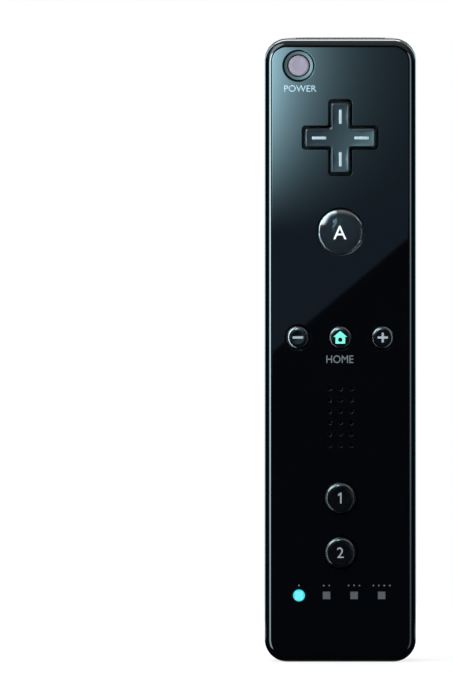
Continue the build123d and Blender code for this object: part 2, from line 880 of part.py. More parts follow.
# Circuit board with notches for the bosses and for the rumble motor
board_half_width = body_width / 2 - side_wall - board_edge_gap
with BuildPart() as circuit_board:
    with BuildSketch(facing(-board_depth)) as board_outline:
        with Locations((0, (board_low + board_high) / 2)):
            RectangleRounded(2 * board_half_width, board_high - board_low, board_corner_radius)
        for notch_z in (screw_nose_z, screw_tail_z):
            with Locations((-screw_x - post_radius, notch_z), (screw_x + post_radius, notch_z)):
                Rectangle(
                    2 * (boss_radius + post_radius + board_notch_gap),
                    2 * (boss_radius + board_notch_gap),
                    mode=Mode.SUBTRACT,
                )
        notch_low = motor_low - motor_notch_gap
        notch_high = motor_low + motor_length + motor_shaft_length + motor_notch_gap
        notch_right = motor_x + motor_radius + motor_notch_gap
        with Locations(((notch_right - body_width / 2) / 2, (notch_low + notch_high) / 2)):
            Rectangle(notch_right + body_width / 2, notch_high - notch_low, mode=Mode.SUBTRACT)
    extrude(amount=board_thickness)
save(circuit_board, "circuit_board")


def board_outline_at(x, z, width, length):
    """The plain outline of a part soldered to the board's back, as a sketch to be raised."""
    with BuildSketch(facing(-board_depth)) as outline:
        with Locations((x, z)):
            Rectangle(width, length)
    return outline.sketch


with BuildPart() as chips:
    extrude(board_outline_at(0, processor_z, processor_size, processor_size), amount=-chip_height)
    extrude(board_outline_at(memory_x, memory_z, memory_width, memory_length), amount=-chip_height)
    extrude(board_outline_at(driver_x, driver_z, driver_width, driver_length), amount=-chip_height)
save(chips, "chips")
with BuildPart() as shield_can:
    extrude(board_outline_at(shield_x, shield_z, shield_width, shield_length), amount=-shield_height)
save(shield_can, "shield_can")
with BuildPart() as motion_sensor:
    extrude(board_outline_at(sensor_x, sensor_z, sensor_size, sensor_size), amount=-sensor_height)
save(motion_sensor, "motion_sensor")


def tact_switch(z, name):
    """A square switch on the board's back with its round key."""
    with BuildPart() as switch:
        extrude(board_outline_at(0, z, switch_width, switch_width), amount=-switch_height)
        with BuildSketch(facing(switch_height - board_depth)):
            with Locations((0, z)):
                RegularPolygon(switch_key_radius, small_sides)
        extrude(amount=-switch_key_height)
    save(switch, name)


tact_switch(plunger_z, "trigger_switch")
tact_switch(sync_z, "sync_switch")
switch_top = switch_height + switch_key_height - board_depth

# Sync button: a long stem through the deck with a flange beneath it
sync_foot = switch_top + sync_travel + seat_gap
with BuildPart() as sync_button:
    with BuildSketch(facing(sync_foot)):
        with Locations((0, sync_z)):
            RegularPolygon(sync_radius, large_sides)
    extrude(amount=sync_foot - deck_depth - sync_height)
    with BuildSketch(facing(board_room_depth - flange_gap)):
        with Locations((0, sync_z)):
            Rectangle(2 * sync_flange_radius, 2 * sync_flange_radius)
    extrude(amount=sync_flange_thickness)
save(sync_button, "sync_button")

# Speaker on its foam ring behind the grille
with BuildPart() as speaker_gasket:
    with BuildSketch(facing(inner_face + gasket_thickness)):
        with Locations((0, speaker_z)):
            RegularPolygon(speaker_radius, large_sides)
            RegularPolygon(speaker_radius - gasket_width, large_sides, mode=Mode.SUBTRACT)
    extrude(amount=gasket_thickness)
save(speaker_gasket, "speaker_gasket")
with BuildPart() as speaker:
    with BuildSketch(facing(board_front)):
        with Locations((0, speaker_z)):
            RegularPolygon(speaker_radius, large_sides)
    extrude(amount=board_front - inner_face - gasket_thickness)
    with BuildSketch(facing(inner_face + gasket_thickness + cone_depth)):
        with Locations((0, speaker_z)):
            RegularPolygon(cone_radius, large_sides)
    extrude(amount=cone_depth, taper=-45, mode=Mode.SUBTRACT)
save(speaker, "speaker")

# Rumble motor and its off-centre weight
with BuildPart() as rumble_motor:
    with BuildSketch(Plane.XY.offset(motor_low)):
        with Locations((motor_x, motor_depth)):
            RegularPolygon(motor_radius, large_sides)
    extrude(amount=motor_length)
    with BuildSketch(Plane.XY.offset(motor_low + motor_length)):
        with Locations((motor_x, motor_depth)):
            RegularPolygon(motor_shaft_radius, small_sides)
    extrude(amount=motor_shaft_length)
save(rumble_motor, "rumble_motor")
with BuildPart() as rumble_weight:
    with BuildSketch(Plane.XY.offset(motor_low + motor_length + weight_start)):
        with Locations((motor_x, motor_depth)):
            RegularPolygon(weight_radius, large_sides)
            with Locations((weight_radius, 0)):
                Rectangle(2 * weight_radius, 2 * weight_radius, mode=Mode.SUBTRACT)
            RegularPolygon(weight_hub_radius, small_sides)
            RegularPolygon(motor_shaft_radius + pin_play, small_sides, major_radius=False, mode=Mode.SUBTRACT)
    extrude(amount=weight_length)
save(rumble_weight, "rumble_weight")

# Light guide with four prongs and the lamps beneath them
guide_back = board_front - lamp_height - seat_gap
with BuildPart() as light_guide:
    with BuildSketch(facing(guide_back)):
        with Locations((0, window_z)):
            Rectangle(
                (window_count - 1) * window_pitch + window_size + 2 * guide_margin,
                window_size + guide_margin,
            )
    extrude(amount=guide_thickness)
    with BuildSketch(facing(guide_back)):
        with Locations((0, window_z)):
            with GridLocations(window_pitch, window_size, window_count, 1):
                Rectangle(window_size, window_size)
    extrude(amount=guide_back + face_depth)
save(light_guide, "light_guide")
with BuildPart() as indicator_lamps:
    with BuildSketch(facing(board_front)):
        with Locations((0, window_z)):
            with GridLocations(window_pitch, lamp_length, window_count, 1):
                Rectangle(lamp_width, lamp_length)
    extrude(amount=lamp_height)
save(indicator_lamps, "indicator_lamps")

# Accessory port: a sleeve held between the shells, with a tongue that carries the contacts
with BuildPart() as expansion_port:
    with BuildSketch(Plane.XY):
        Rectangle(port_width + 2 * port_wall, port_height + 2 * port_wall)
    extrude(amount=port_depth + port_back)
    with BuildSketch(Plane.XY):
        RectangleRounded(port_width, port_height, port_corner_radius)
    extrude(amount=port_depth, mode=Mode.SUBTRACT)
    with BuildSketch(Plane.XY.offset(port_tongue_start)):
        Rectangle(port_tongue_width, port_tongue_thickness)
    extrude(amount=port_depth - port_tongue_start)
save(expansion_port, "expansion_port")
with BuildPart() as port_contacts:
    with BuildSketch(Plane.XY.offset(port_tongue_start + port_tongue_thickness)):
        pin_rise = (port_tongue_thickness + pin_thickness) / 2
        with Locations((0, pin_rise), (0, -pin_rise)):
            with GridLocations(pin_pitch, pin_thickness, pin_count, 1):
                Rectangle(pin_width, pin_thickness)
    extrude(amount=port_depth - port_tongue_start - port_tongue_thickness)
save(port_contacts, "port_contacts")

# Infrared window, and the camera that looks out of it
with BuildPart() as infrared_window:
    with BuildSketch(Plane.XY.offset(body_length - side_wall)):
        with Locations((0, ir_centre_depth)):
            RectangleRounded(ir_width, ir_height, ir_corner_radius)
    extrude(amount=side_wall)
    with BuildSketch(Plane.XY.offset(body_length - side_wall)):
        with Locations((0, ir_centre_depth)):
            Rectangle(ir_width + 2 * ir_lip, ir_height + 2 * ir_lip)
    extrude(amount=-ir_lip_thickness)
save(infrared_window, "infrared_window")
camera_low = body_length - side_wall - ir_lip_thickness - seat_gap - lens_length - camera_length
camera_depth = camera_height / 2 - board_depth
with BuildPart() as infrared_camera:
    with BuildSketch(Plane.XY.offset(camera_low)):
        with Locations((0, camera_depth)):
            Rectangle(camera_width, camera_height)
    extrude(amount=camera_length)
save(infrared_camera, "infrared_camera")
with BuildPart() as camera_lens:
    with BuildSketch(Plane.XY.offset(camera_low + camera_length)):
        with Locations((0, camera_depth)):
            RegularPolygon(lens_radius, large_sides)
    extrude(amount=lens_length)
save(camera_lens, "camera_lens")

# Trigger: a hooked shell with a hollow finger face, turning on a pin at its root
heel_drop = trigger_toe_reach
with BuildPart() as trigger:
    with BuildSketch(Plane.YZ) as side_outline:
        with BuildLine():
            SagittaArc(
                (trigger_root_depth, trigger_root_z), (trigger_tip_depth, trigger_tip_z), -trigger_hollow
            )
            SagittaArc(
                (trigger_tip_depth, trigger_tip_z), (trigger_heel_depth, trigger_heel_z), trigger_heel_bulge
            )
            Polyline(
                (trigger_heel_depth, trigger_heel_z),
                (trigger_heel_depth - heel_drop, trigger_heel_z - heel_drop),
                (trigger_belly_depth, trigger_belly_z),
                (pivot_depth - pivot_boss_radius, pivot_z),
                (pivot_depth, pivot_z + pivot_boss_radius),
                (trigger_root_depth, trigger_root_z),
            )
        make_face()
    extrude(amount=trigger_width / 2, both=True)
    tip_edge = trigger.edges().filter_by(Axis.X).sort_by(Axis.Y)[-1]
    fillet(tip_edge, radius=trigger_tip_radius)
    with BuildSketch(Plane.YZ) as inner_outline:
        add(side_outline.sketch)
        offset(amount=-trigger_skin, kind=Kind.INTERSECTION)
        with BuildLine():
            Polyline(
                (0, trigger_heel_z),
                (trigger_belly_depth + trigger_skin, trigger_heel_z + trigger_skin),
                (pivot_depth + pivot_boss_radius, pivot_z - pivot_boss_radius),
                (0, pivot_z - pivot_boss_radius),
                close=True,
            )
        make_face()
    extrude(amount=trigger_width / 2 - trigger_skin, both=True, mode=Mode.SUBTRACT)
    with BuildSketch(Plane.YZ):
        with Locations((pivot_depth, pivot_z)):
            Circle(pivot_boss_radius)
    extrude(amount=trigger_width / 2, both=True)
    with BuildSketch(Plane.YZ):
        with Locations((pivot_depth, pivot_z)):
            Rectangle(2 * spring_room, 2 * spring_room)
    extrude(amount=spring_room_width / 2, both=True, mode=Mode.SUBTRACT)
    with BuildSketch(Plane.YZ):
        with Locations((pivot_depth, pivot_z)):
            Circle(pin_radius + pin_play)
    extrude(amount=trigger_width / 2, both=True, mode=Mode.SUBTRACT)
    plunger_tip = switch_top + plunger_gap
    with BuildSketch(Plane.YZ):
        with Locations(((plunger_tip + trigger_heel_depth - trigger_skin / 2) / 2, plunger_z)):
            Rectangle(trigger_heel_depth - trigger_skin / 2 - plunger_tip, plunger_height)
    extrude(amount=plunger_width / 2, both=True)
save(trigger, "trigger")
with BuildPart() as trigger_pin:
    with BuildSketch(Plane.YZ):
        with Locations((pivot_depth, pivot_z)):
            Circle(pin_radius)
    extrude(amount=slot_half_width + bearing_thickness, both=True)
save(trigger_pin, "trigger_pin")

# The trigger's return spring, wound round its pin between the two halves of the boss
spring_bore = pin_radius + spring_play
with BuildPart() as trigger_spring:
    with BuildSketch(Plane.YZ):
        with Locations((pivot_depth, pivot_z)):
            RegularPolygon(spring_bore + 2 * spring_wire, small_sides)
            RegularPolygon(spring_bore, small_sides, major_radius=False, mode=Mode.SUBTRACT)
    extrude(amount=spring_turns * spring_wire, both=True)
save(trigger_spring, "trigger_spring")

# Cells lie head to tail, each pressed against its contact by a conical spring
with BuildPart() as battery_left:
    with BuildSketch(Plane.XY.offset(bay_low + spring_length)):
        with Locations((-cell_pitch / 2, cell_axis_depth)):
            RegularPolygon(cell_radius, large_sides)
    extrude(amount=cell_length - nub_height)
    with BuildSketch(Plane.XY.offset(bay_low + spring_length + cell_length - nub_height)):
        with Locations((-cell_pitch / 2, cell_axis_depth)):
            RegularPolygon(nub_radius, small_sides)
    extrude(amount=nub_height)
save(battery_left, "battery_left")
with BuildPart() as battery_right:
    with BuildSketch(Plane.XY.offset(bay_high - spring_length)):
        with Locations((cell_pitch / 2, cell_axis_depth)):
            RegularPolygon(cell_radius, large_sides)
    extrude(amount=nub_height - cell_length)
    with BuildSketch(Plane.XY.offset(bay_high - spring_length - cell_length + nub_height)):
        with Locations((cell_pitch / 2, cell_axis_depth)):
            RegularPolygon(nub_radius, small_sides)
    extrude(amount=-nub_height)
save(battery_right, "battery_right")
spring_height = (spring_length - contact_thickness) / 2
with BuildPart() as battery_springs:
    for x, base, direction in ((-cell_pitch / 2, bay_low, 1), (cell_pitch / 2, bay_high, -1)):
        spring_start = base + direction * contact_thickness
        with BuildSketch(Plane.XY.offset(spring_start)):
            with Locations((x, cell_axis_depth)):
                RegularPolygon(spring_base_radius, small_sides)
        extrude(amount=direction * spring_height)
        with BuildSketch(Plane.XY.offset(spring_start + direction * spring_height)):
            with Locations((x, cell_axis_depth)):
                RegularPolygon(spring_top_radius, small_sides)
        extrude(amount=direction * spring_height)
save(battery_springs, "battery_springs")
with BuildPart() as battery_plates:
    with BuildSketch(Plane.XY.offset(bay_low)):
        with Locations((-cell_pitch / 2, cell_axis_depth), (cell_pitch / 2, cell_axis_depth)):
            Rectangle(contact_width, contact_height)
    extrude(amount=contact_thickness)
    with BuildSketch(Plane.XY.offset(bay_high)):
        with Locations((0, cell_axis_depth)):
            Rectangle(cell_pitch + contact_width, contact_height)
    extrude(amount=-contact_thickness)
save(battery_plates, "battery_plates")

# Housing screws, from the back into the front shell's bosses
with BuildPart() as housing_screws:
    for x in (-screw_x, screw_x):
        for z in (screw_nose_z, screw_tail_z):
            with BuildSketch(facing(screw_seat_depth)):
                with Locations((x, z)):
                    RegularPolygon(screw_head_radius, small_sides)
            extrude(amount=-screw_head_height)
            with BuildSketch(facing(screw_seat_depth)):
                with Locations((x, z)):
                    RegularPolygon(screw_radius, small_sides)
            extrude(amount=screw_seat_depth + screw_reach)
save(housing_screws, "housing_screws")
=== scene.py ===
import bmesh
import bpy
import numpy as np
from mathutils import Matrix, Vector, geometry


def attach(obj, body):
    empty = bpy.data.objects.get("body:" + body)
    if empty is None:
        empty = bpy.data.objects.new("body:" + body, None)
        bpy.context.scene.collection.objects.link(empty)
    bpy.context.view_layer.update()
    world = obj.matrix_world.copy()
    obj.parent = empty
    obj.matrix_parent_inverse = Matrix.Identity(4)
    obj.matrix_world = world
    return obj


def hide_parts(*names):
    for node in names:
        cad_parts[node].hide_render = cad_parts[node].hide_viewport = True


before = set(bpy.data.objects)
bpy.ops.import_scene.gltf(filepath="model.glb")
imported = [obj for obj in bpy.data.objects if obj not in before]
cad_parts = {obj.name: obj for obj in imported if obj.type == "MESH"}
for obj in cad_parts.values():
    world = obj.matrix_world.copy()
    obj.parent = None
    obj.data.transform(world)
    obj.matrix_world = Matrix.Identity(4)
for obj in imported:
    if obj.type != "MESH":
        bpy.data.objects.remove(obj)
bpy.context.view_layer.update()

# Rear housing. A satin black shell of moulded ABS that carries the grip, the shoulder and the nose.
# Every other part is laid into it before the face closes it. Its shape is the CAD's own, with the
# outer skin shaded by the formula of its cross sections, so that it curves without a break.
MM = 0.001
BODY_LENGTH, HALF_WIDTH = 148.0, 18.0
GRIP_DEPTH, NECK_DEPTH, NOSE_DEPTH = 23.9, 13.2, 14.0
GRIP_END, NECK_START = 88.006, 120.596
PLAN_CORNER, TAIL_ROUND, NOSE_ROUND = 5.4, 8.7, 3.5
GRIP_CORNER, NOSE_CORNER = 9.0, 6.0
SHOULDER_ARC, THROAT_ARC, SLOPE = 34.0, 16.0, np.radians(28.0)
MERGE, FLATNESS, SKIN_REACH, SKIN_FACING = 1e-6, 0.3, 0.12, 0.94


def end_inset(radius, gap):
    """Quarter round: radius - sqrt(radius^2 - (radius - gap)^2), and nothing past the round."""
    rest = np.clip(radius - gap, 0, radius)
    return radius - np.sqrt(radius**2 - rest**2)


def back_depth(z):
    """Grip line, shoulder arc, straight slope, throat arc and slow nose rise, joined along z."""
    arc_run, arc_drop = SHOULDER_ARC * np.sin(SLOPE), SHOULDER_ARC * (1 - np.cos(SLOPE))
    climb = np.clip(z - GRIP_END, 0, arc_run)
    shoulder = GRIP_DEPTH - SHOULDER_ARC + np.sqrt(SHOULDER_ARC**2 - climb**2)
    line = GRIP_DEPTH - arc_drop - (z - GRIP_END - arc_run) * np.tan(SLOPE)
    gap = np.clip(NECK_START - z, 0, THROAT_ARC * np.sin(SLOPE))
    throat = NECK_DEPTH + THROAT_ARC - np.sqrt(THROAT_ARC**2 - gap**2)
    nose = NECK_DEPTH + (NOSE_DEPTH - NECK_DEPTH) * (z - NECK_START) / (BODY_LENGTH - NECK_START)
    depth = np.where(z < GRIP_END + arc_run, shoulder, line)
    depth = np.where(z > NECK_START - THROAT_ARC * np.sin(SLOPE), throat, depth)
    return np.where(z > NECK_START, nose, depth)


def section(z):
    """Half width, depth and back corner radius of the body's cross section at height z."""
    width = HALF_WIDTH - end_inset(PLAN_CORNER, np.minimum(z, BODY_LENGTH - z))
    depth = back_depth(z) - end_inset(TAIL_ROUND, z) - end_inset(NOSE_ROUND, BODY_LENGTH - z)
    share = np.clip((z - GRIP_END) / (NECK_START - GRIP_END), 0, 1)
    corner = GRIP_CORNER + (NOSE_CORNER - GRIP_CORNER) * share**2 * (3 - 2 * share)
    return width, depth, corner


def skin_gap(points):
    """Signed distance in the section's plane from its rounded outline, less than zero inside."""
    width, depth, corner = section(points[:, 2])
    across = np.abs(points[:, 0]) - width + corner
    back = points[:, 1] - depth + corner
    outside = np.hypot(np.maximum(across, 0), np.maximum(back, 0))
    return outside + np.minimum(np.maximum(across, back), 0) - corner


def skin_normal(points):
    """Gradient of skin_gap by central differences, made one long."""
    step = 0.02
    slope = [skin_gap(points + step * axis) - skin_gap(points - step * axis) for axis in np.eye(3)]
    slope = np.stack(slope, -1)
    return slope / np.maximum(np.linalg.norm(slope, axis=1, keepdims=True), 1e-9)


class Wire:
    """One socket of a material. Sums written on it in Python add Math nodes."""

    def __init__(self, finish, socket):
        self.finish, self.socket = finish, socket

    def math(self, operation, *terms):
        return self.finish.node("ShaderNodeMath", {"operation": operation}, dict(enumerate(terms)))

    def __add__(self, other):
        return self.math("ADD", self, other)

    def __mul__(self, other):
        return self.math("MULTIPLY", self, other)

    def __sub__(self, other):
        return self.math("SUBTRACT", self, other)

    def __rsub__(self, other):
        return self.math("SUBTRACT", other, self)

    __radd__ = __add__
    __rmul__ = __mul__

    def band(self, low, high):
        """A smooth step from 0 at low to 1 at high."""
        settings = {"interpolation_type": "SMOOTHSTEP"}
        values = {"Value": self, "From Min": low, "From Max": high}
        return self.finish.node("ShaderNodeMapRange", settings, values)


class Finish:
    """A procedural material: constants stand on the shader's sockets, patterns are fed to them."""

    def __init__(self, name, **constants):
        self.material = bpy.data.materials.new(name)
        self.material.use_nodes = True
        self.tree = self.material.node_tree
        self.shader = self.tree.nodes["Principled BSDF"]
        for key, value in constants.items():
            self.shader.inputs[key.replace("_", " ")].default_value = value

    def node(self, kind, settings=None, inputs=None, output=0):
        """Any node: its settings first, then values or links for its sockets."""
        made = self.tree.nodes.new(kind)
        for key, value in (settings or {}).items():
            if key == "stops":
                for stop, (place, colour) in zip(made.color_ramp.elements, value):
                    stop.position, stop.color = place, (*colour, 1)
            else:
                setattr(made, key, value)
        for key, value in (inputs or {}).items():
            if isinstance(value, Wire):
                self.tree.links.new(value.socket, made.inputs[key])
            else:
                made.inputs[key].default_value = value
        return Wire(self, made.outputs[output])

    def feed(self, socket, wire):
        self.tree.links.new(wire.socket, self.shader.inputs[socket])

    def mixed(self, share, first, second):
        """Makes the surface a mix: a share of 0 shows the first shader, 1 the second."""
        made = self.node("ShaderNodeMixShader", {}, {0: share, 1: first, 2: second})
        self.tree.links.new(made.socket, self.tree.nodes["Material Output"].inputs["Surface"])

    def body(self):
        return Wire(self, self.shader.outputs[0])

    def place(self):
        return self.node("ShaderNodeTexCoord", output="Object")

    def axes(self):
        """The three object coordinates in millimetres."""
        split = self.node("ShaderNodeSeparateXYZ", {}, {"Vector": self.place()}).socket.node
        return [Wire(self, split.outputs[i]) * (1 / MM) for i in range(3)]

    def noise(self, size_mm, detail=2.0, place=None):
        """Noise whose features are about size_mm across."""
        place = place or self.place()
        values = {"Vector": place, "Scale": 1 / (size_mm * MM), "Detail": detail}
        return self.node("ShaderNodeTexNoise", {}, values)

    def tint(self, share, low, high):
        """A colour between low and high by a share from 0 to 1."""
        return self.node("ShaderNodeValToRGB", {"stops": [(0.0, low), (1.0, high)]}, {"Fac": share})

    def relief(self, height, depth_mm):
        """Bump whose full height is depth_mm."""
        values = {"Height": height, "Distance": depth_mm * MM}
        self.feed("Normal", self.node("ShaderNodeBump", {}, values))


def paint(code):
    """The linear colour of a hex sRGB code."""
    value = np.array([int(code[i : i + 2], 16) for i in (1, 3, 5)]) / 255
    return np.where(value < 0.04045, value / 12.92, ((value + 0.055) / 1.055) ** 2.4)


def moulded(name, code, roughness, grain, depth, uneven=0.06, specular=0.5):
    """Moulded plastic: a fine grain as relief, and a slow unevenness of colour and gloss."""
    finish = Finish(name, Specular_IOR_Level=specular)
    slow = finish.noise(14.0, 3.0)
    fine = finish.noise(grain, 2.0)
    colour = paint(code)
    finish.feed("Base Color", finish.tint(slow, colour * 0.82, np.minimum(colour * 1.18, 1)))
    finish.feed("Roughness", roughness + (slow - 0.5) * uneven + (fine - 0.5) * uneven)
    finish.relief(fine, depth)
    return finish


def dressed(piece, finish, body, slot, *nodes):
    """Gives a piece its finish and body, and hides the CAD nodes it stands for. The slot is not
    used.
    """
    piece.data.materials.clear()
    piece.data.materials.append(finish.material)
    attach(piece, body)
    if nodes:
        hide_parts(*nodes)
    return piece


def weighted(piece):
    """Large flat faces keep their own normal, and the small rounds beside them take up the turn."""
    modifier = piece.modifiers.new("even_gloss", "WEIGHTED_NORMAL")
    modifier.keep_sharp = True
    return piece


def settled(piece):
    """Makes a piece's modifiers part of its mesh."""
    bpy.context.view_layer.update()
    graph = bpy.context.evaluated_depsgraph_get()
    shape = piece.evaluated_get(graph)
    mesh = bpy.data.meshes.new_from_object(shape, preserve_all_data_layers=True, depsgraph=graph)
    piece.modifiers.clear()
    piece.data = mesh
    return piece


def linked(name, data):
    """A new object in the scene."""
    made = bpy.data.objects.new(name, data)
    bpy.context.scene.collection.objects.link(made)
    return made


def smooth_below(mesh, crease):
    """Shades a mesh smooth wherever its faces turn by less than an angle."""
    mesh.shade_smooth()
    mesh.set_sharp_from_angle(angle=np.radians(crease))


def merged(node, crease=32.0):
    """A copy of a CAD node with its loose triangles joined and its corners smooth below an angle.
    Triangles that lie within FLATNESS degrees of one plane become one face."""
    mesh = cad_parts[node].data.copy()
    work = bmesh.new()
    work.from_mesh(mesh)
    bmesh.ops.remove_doubles(work, verts=work.verts, dist=MERGE)
    flats = np.radians(FLATNESS)
    bmesh.ops.dissolve_limit(work, angle_limit=flats, verts=work.verts, edges=work.edges)
    work.to_mesh(mesh)
    work.free()
    smooth_below(mesh, crease)
    return weighted(linked(node + "_form", mesh))


def read(items, key, width=1, kind=float):
    """One property of all vertices, corners or faces, as an array with this many columns."""
    values = np.empty(len(items) * width, kind)
    items.foreach_get(key, values)
    return values.reshape(-1, width) if width > 1 else values


def shaded_by_skin(piece):
    """Corner normals from skin_normal wherever a face lies on the body's outer skin."""
    mesh = piece.data
    spots = read(mesh.vertices, "co", 3) / MM
    corner = read(mesh.loops, "vertex_index", kind=int)
    normals = read(mesh.corner_normals, "vector", 3)
    sides = read(mesh.polygons, "loop_total", kind=int)
    flat = np.repeat(read(mesh.polygons, "normal", 3), sides, axis=0)
    gap = np.maximum.reduceat(np.abs(skin_gap(spots))[corner], np.cumsum(sides) - sides)
    near = np.repeat(gap < SKIN_REACH, sides)
    skin = skin_normal(spots)[corner]
    use = near & ((skin * flat).sum(1) > SKIN_FACING)
    normals[use] = skin[use]
    mesh.normals_split_custom_set([tuple(n) for n in normals])


def kept(node, finish, slot, body="root"):
    """A CAD node whose shape stays, as a merged copy in its finish."""
    return dressed(merged(node), finish, body, slot, node)


satin = moulded("satin_black_abs", "#0b1822", 0.3, 0.16, 0.004, specular=0.4)
housing = settled(merged("rear_housing", 20.0))
shaded_by_skin(housing)
dressed(housing, satin, "root", "satin_shell", "rear_housing")

# Accessory port. A black nylon socket sleeve with a tongue in its mouth and three plated blades.
# It drops between the shells at the tail, and its blades are soldered to the board's lower edge.
port = moulded("port_nylon", "#15181b", 0.42, 0.25, 0.01)
kept("expansion_port", port, "port_plastic")


def metal(name, code, roughness, streak_mm):
    """Rolled or plated metal: fine streaks along Z in its gloss, a slow tarnish in its colour."""
    finish = Finish(name, Metallic=1.0)
    stretched = finish.node(
        "ShaderNodeMapping", {}, {"Vector": finish.place(), "Scale": (1.0, 1.0, 0.08)}
    )
    streaks = finish.noise(streak_mm, 3.0, stretched)
    slow = finish.noise(5.0, 2.0)
    colour = paint(code)
    finish.feed("Base Color", finish.tint(slow, colour * 0.85, np.minimum(colour * 1.08, 1)))
    finish.feed("Roughness", roughness + (streaks - 0.5) * 0.12)
    finish.relief(streaks, 0.004)
    return finish


gold = metal("gold_plating", "#d9b45a", 0.25, 0.2)
kept("port_contacts", gold, "contact")

# Infrared window and camera. A smoky acrylic plate closes the nose and passes infrared light only.
# The camera's block and its small lens sit behind it on the board.
smoke = moulded("smoked_acrylic", "#0a0608", 0.14, 0.6, 0.001, uneven=0.02)
kept("infrared_window", smoke, "dark_window")
camera_block = moulded("camera_block", "#16181b", 0.5, 0.2, 0.01)
kept("infrared_camera", camera_block, "chip")
lens_glass = moulded("camera_glass", "#10202c", 0.05, 0.8, 0.001, uneven=0.02)
kept("camera_lens", lens_glass, "clear_lens")

# Rumble motor. A plated steel can with its shaft along the wand, and a half-round tungsten weight
# pressed on the shaft that shakes the grip as it turns.
can_steel = metal("motor_can_steel", "#b9bdc0", 0.3, 0.15)
kept("rumble_motor", can_steel, "motor_steel")
tungsten = metal("sintered_tungsten", "#6d6f72", 0.45, 0.1)
kept("rumble_weight", tungsten, "weight_metal", "rumble")

# Circuit board. Green glass-fibre laminate with copper tracks under the lacquer, held on the
# shell's posts, with its chips, its motion sensor and the tinned can of the radio on its back.
board = Finish("green_laminate", Specular_IOR_Level=0.5)
board_x, _, board_z = board.axes()
weave = board.node(
    "ShaderNodeTexBrick",
    {"offset": 0.5},
    {
        "Vector": board.node("ShaderNodeCombineXYZ", {}, {"X": board_x, "Y": board_z}),
        "Color1": (0, 0, 0, 1), "Color2": (0.3, 0.3, 0.3, 1), "Mortar": (1, 1, 1, 1),
        "Scale": 1.0, "Mortar Size": 0.09, "Brick Width": 4.1, "Row Height": 1.3,
    },
)
board.feed("Base Color", board.tint(weave, paint("#123c28"), paint("#2a6a45")))
board.feed("Roughness", 0.34 + board.noise(3.0) * 0.1)
board.relief(weave, 0.02)
kept("circuit_board", board, "board")
epoxy = moulded("chip_epoxy", "#17181a", 0.62, 0.12, 0.012)
kept("chips", epoxy, "chip")
kept("motion_sensor", epoxy, "chip")
tinned = metal("tinned_sheet", "#c4c8ca", 0.34, 0.3)
kept("shield_can", tinned, "shield")

# Switches. Small black keys on the board's back: one under the trigger, one under the sync button,
# which is a red key that shows when the battery cover is off.
switch_nylon = moulded("switch_nylon", "#202326", 0.5, 0.2, 0.01)
kept("trigger_switch", switch_nylon, "switch")
kept("sync_switch", switch_nylon, "switch")
sync_red = moulded("sync_red", "#b3261d", 0.38, 0.2, 0.008)
kept("sync_button", sync_red, "sync_plastic", "sync_key")

# Speaker. A steel basket with its cone behind the face's small holes, on a ring of black foam
# that seals it against the shell.
basket = metal("speaker_steel", "#7d8286", 0.4, 0.3)
kept("speaker", basket, "speaker_steel")
foam = moulded("gasket_foam", "#1a1a1c", 0.9, 0.35, 0.12)
kept("speaker_gasket", foam, "foam")

# Rubber membranes. Grey silicone sheets with a dome and a carbon pill under each control, laid on
# the board so that every press is pushed back.
silicone = moulded("grey_silicone", "#6f7477", 0.62, 0.4, 0.01, specular=0.35)
for sheet in ("direction", "power", "a", "menu", "number"):
    kept(sheet + "_membrane", silicone, "rubber")

# Indicator lamps and their light guide. Four lamps on the board shine through one clear moulding
# whose square ends lie flush in the face. The first one is lit, the others rest dark.
WINDOW_Z, WINDOW_PITCH, WINDOW_SIZE = 15.8, 6.55, 1.77
WINDOW_X = WINDOW_PITCH * (np.arange(4) - 1.5)
LIT_X, GLOW = WINDOW_X[0], paint("#4fe6ee")
lamp_body = moulded("lamp_resin", "#cfd6d2", 0.3, 0.3, 0.004)
kept("indicator_lamps", lamp_body, "lamp")


def lit(finish, x, z, radius, edge, colour):
    """Emission inside a radius round one point of the face: the lit lamp's own light on its light
    guide, a painted glow on the black face shell.
    """
    across, along = finish.axes()[0] - x, finish.axes()[2] - z
    square = across * across + along * along
    away = square.math("SQRT", square)
    share = 1 - away.band(radius - edge, radius)
    finish.feed("Emission Color", finish.tint(share, (0, 0, 0), colour))
    finish.shader.inputs["Emission Strength"].default_value = 1.0


guide = moulded("light_guide_acrylic", "#45484d", 0.55, 0.5, 0.0005, specular=0.2)
lit(guide, LIT_X, WINDOW_Z, 1.6, 0.3, GLOW)
kept("light_guide", guide, "light_pipe")

# Front shell. A piano-black ABS tray, polished, with a rounded face edge. Its holes for the
# controls, speaker and indicator windows have small rolled lips. Screws hold it from behind.
FACE, SEAM_CHAMFER, EDGE_ROUND, WALL, INNER_FACE = -7.9, 0.3, 1.8, 1.8, -5.9
PAD_Z, PAD_HOLE, PAD_HOLE_ARM = 124.702, 17.85 / 2, 5.3 / 2
A_Z, MENU_Z, ONE_Z, TWO_Z = 102.4, 77.2, 38.997, 26.006
MENU_PITCH, POWER_X, POWER_Z = 10.1, -9.9, 141.8
PLAY = 0.2
A_RADIUS, NUMBER_RADIUS, MENU_RADIUS = 5.25, 3.8, 2.75
WELL_RADIUS, WELL_MOUTH, WELL_FLOOR = 2.65, 3.6, -6.7
SPEAKER_Z, SPEAKER_STEP_X, SPEAKER_STEP_Z, SPEAKER_HOLE = 58.3, 2.57, 2.7, 0.5
WINDOW_HALF, WINDOW_CORNER = WINDOW_SIZE / 2 + 0.05, 0.12


def unit(vector):
    return vector / max(np.linalg.norm(vector), 1e-12)


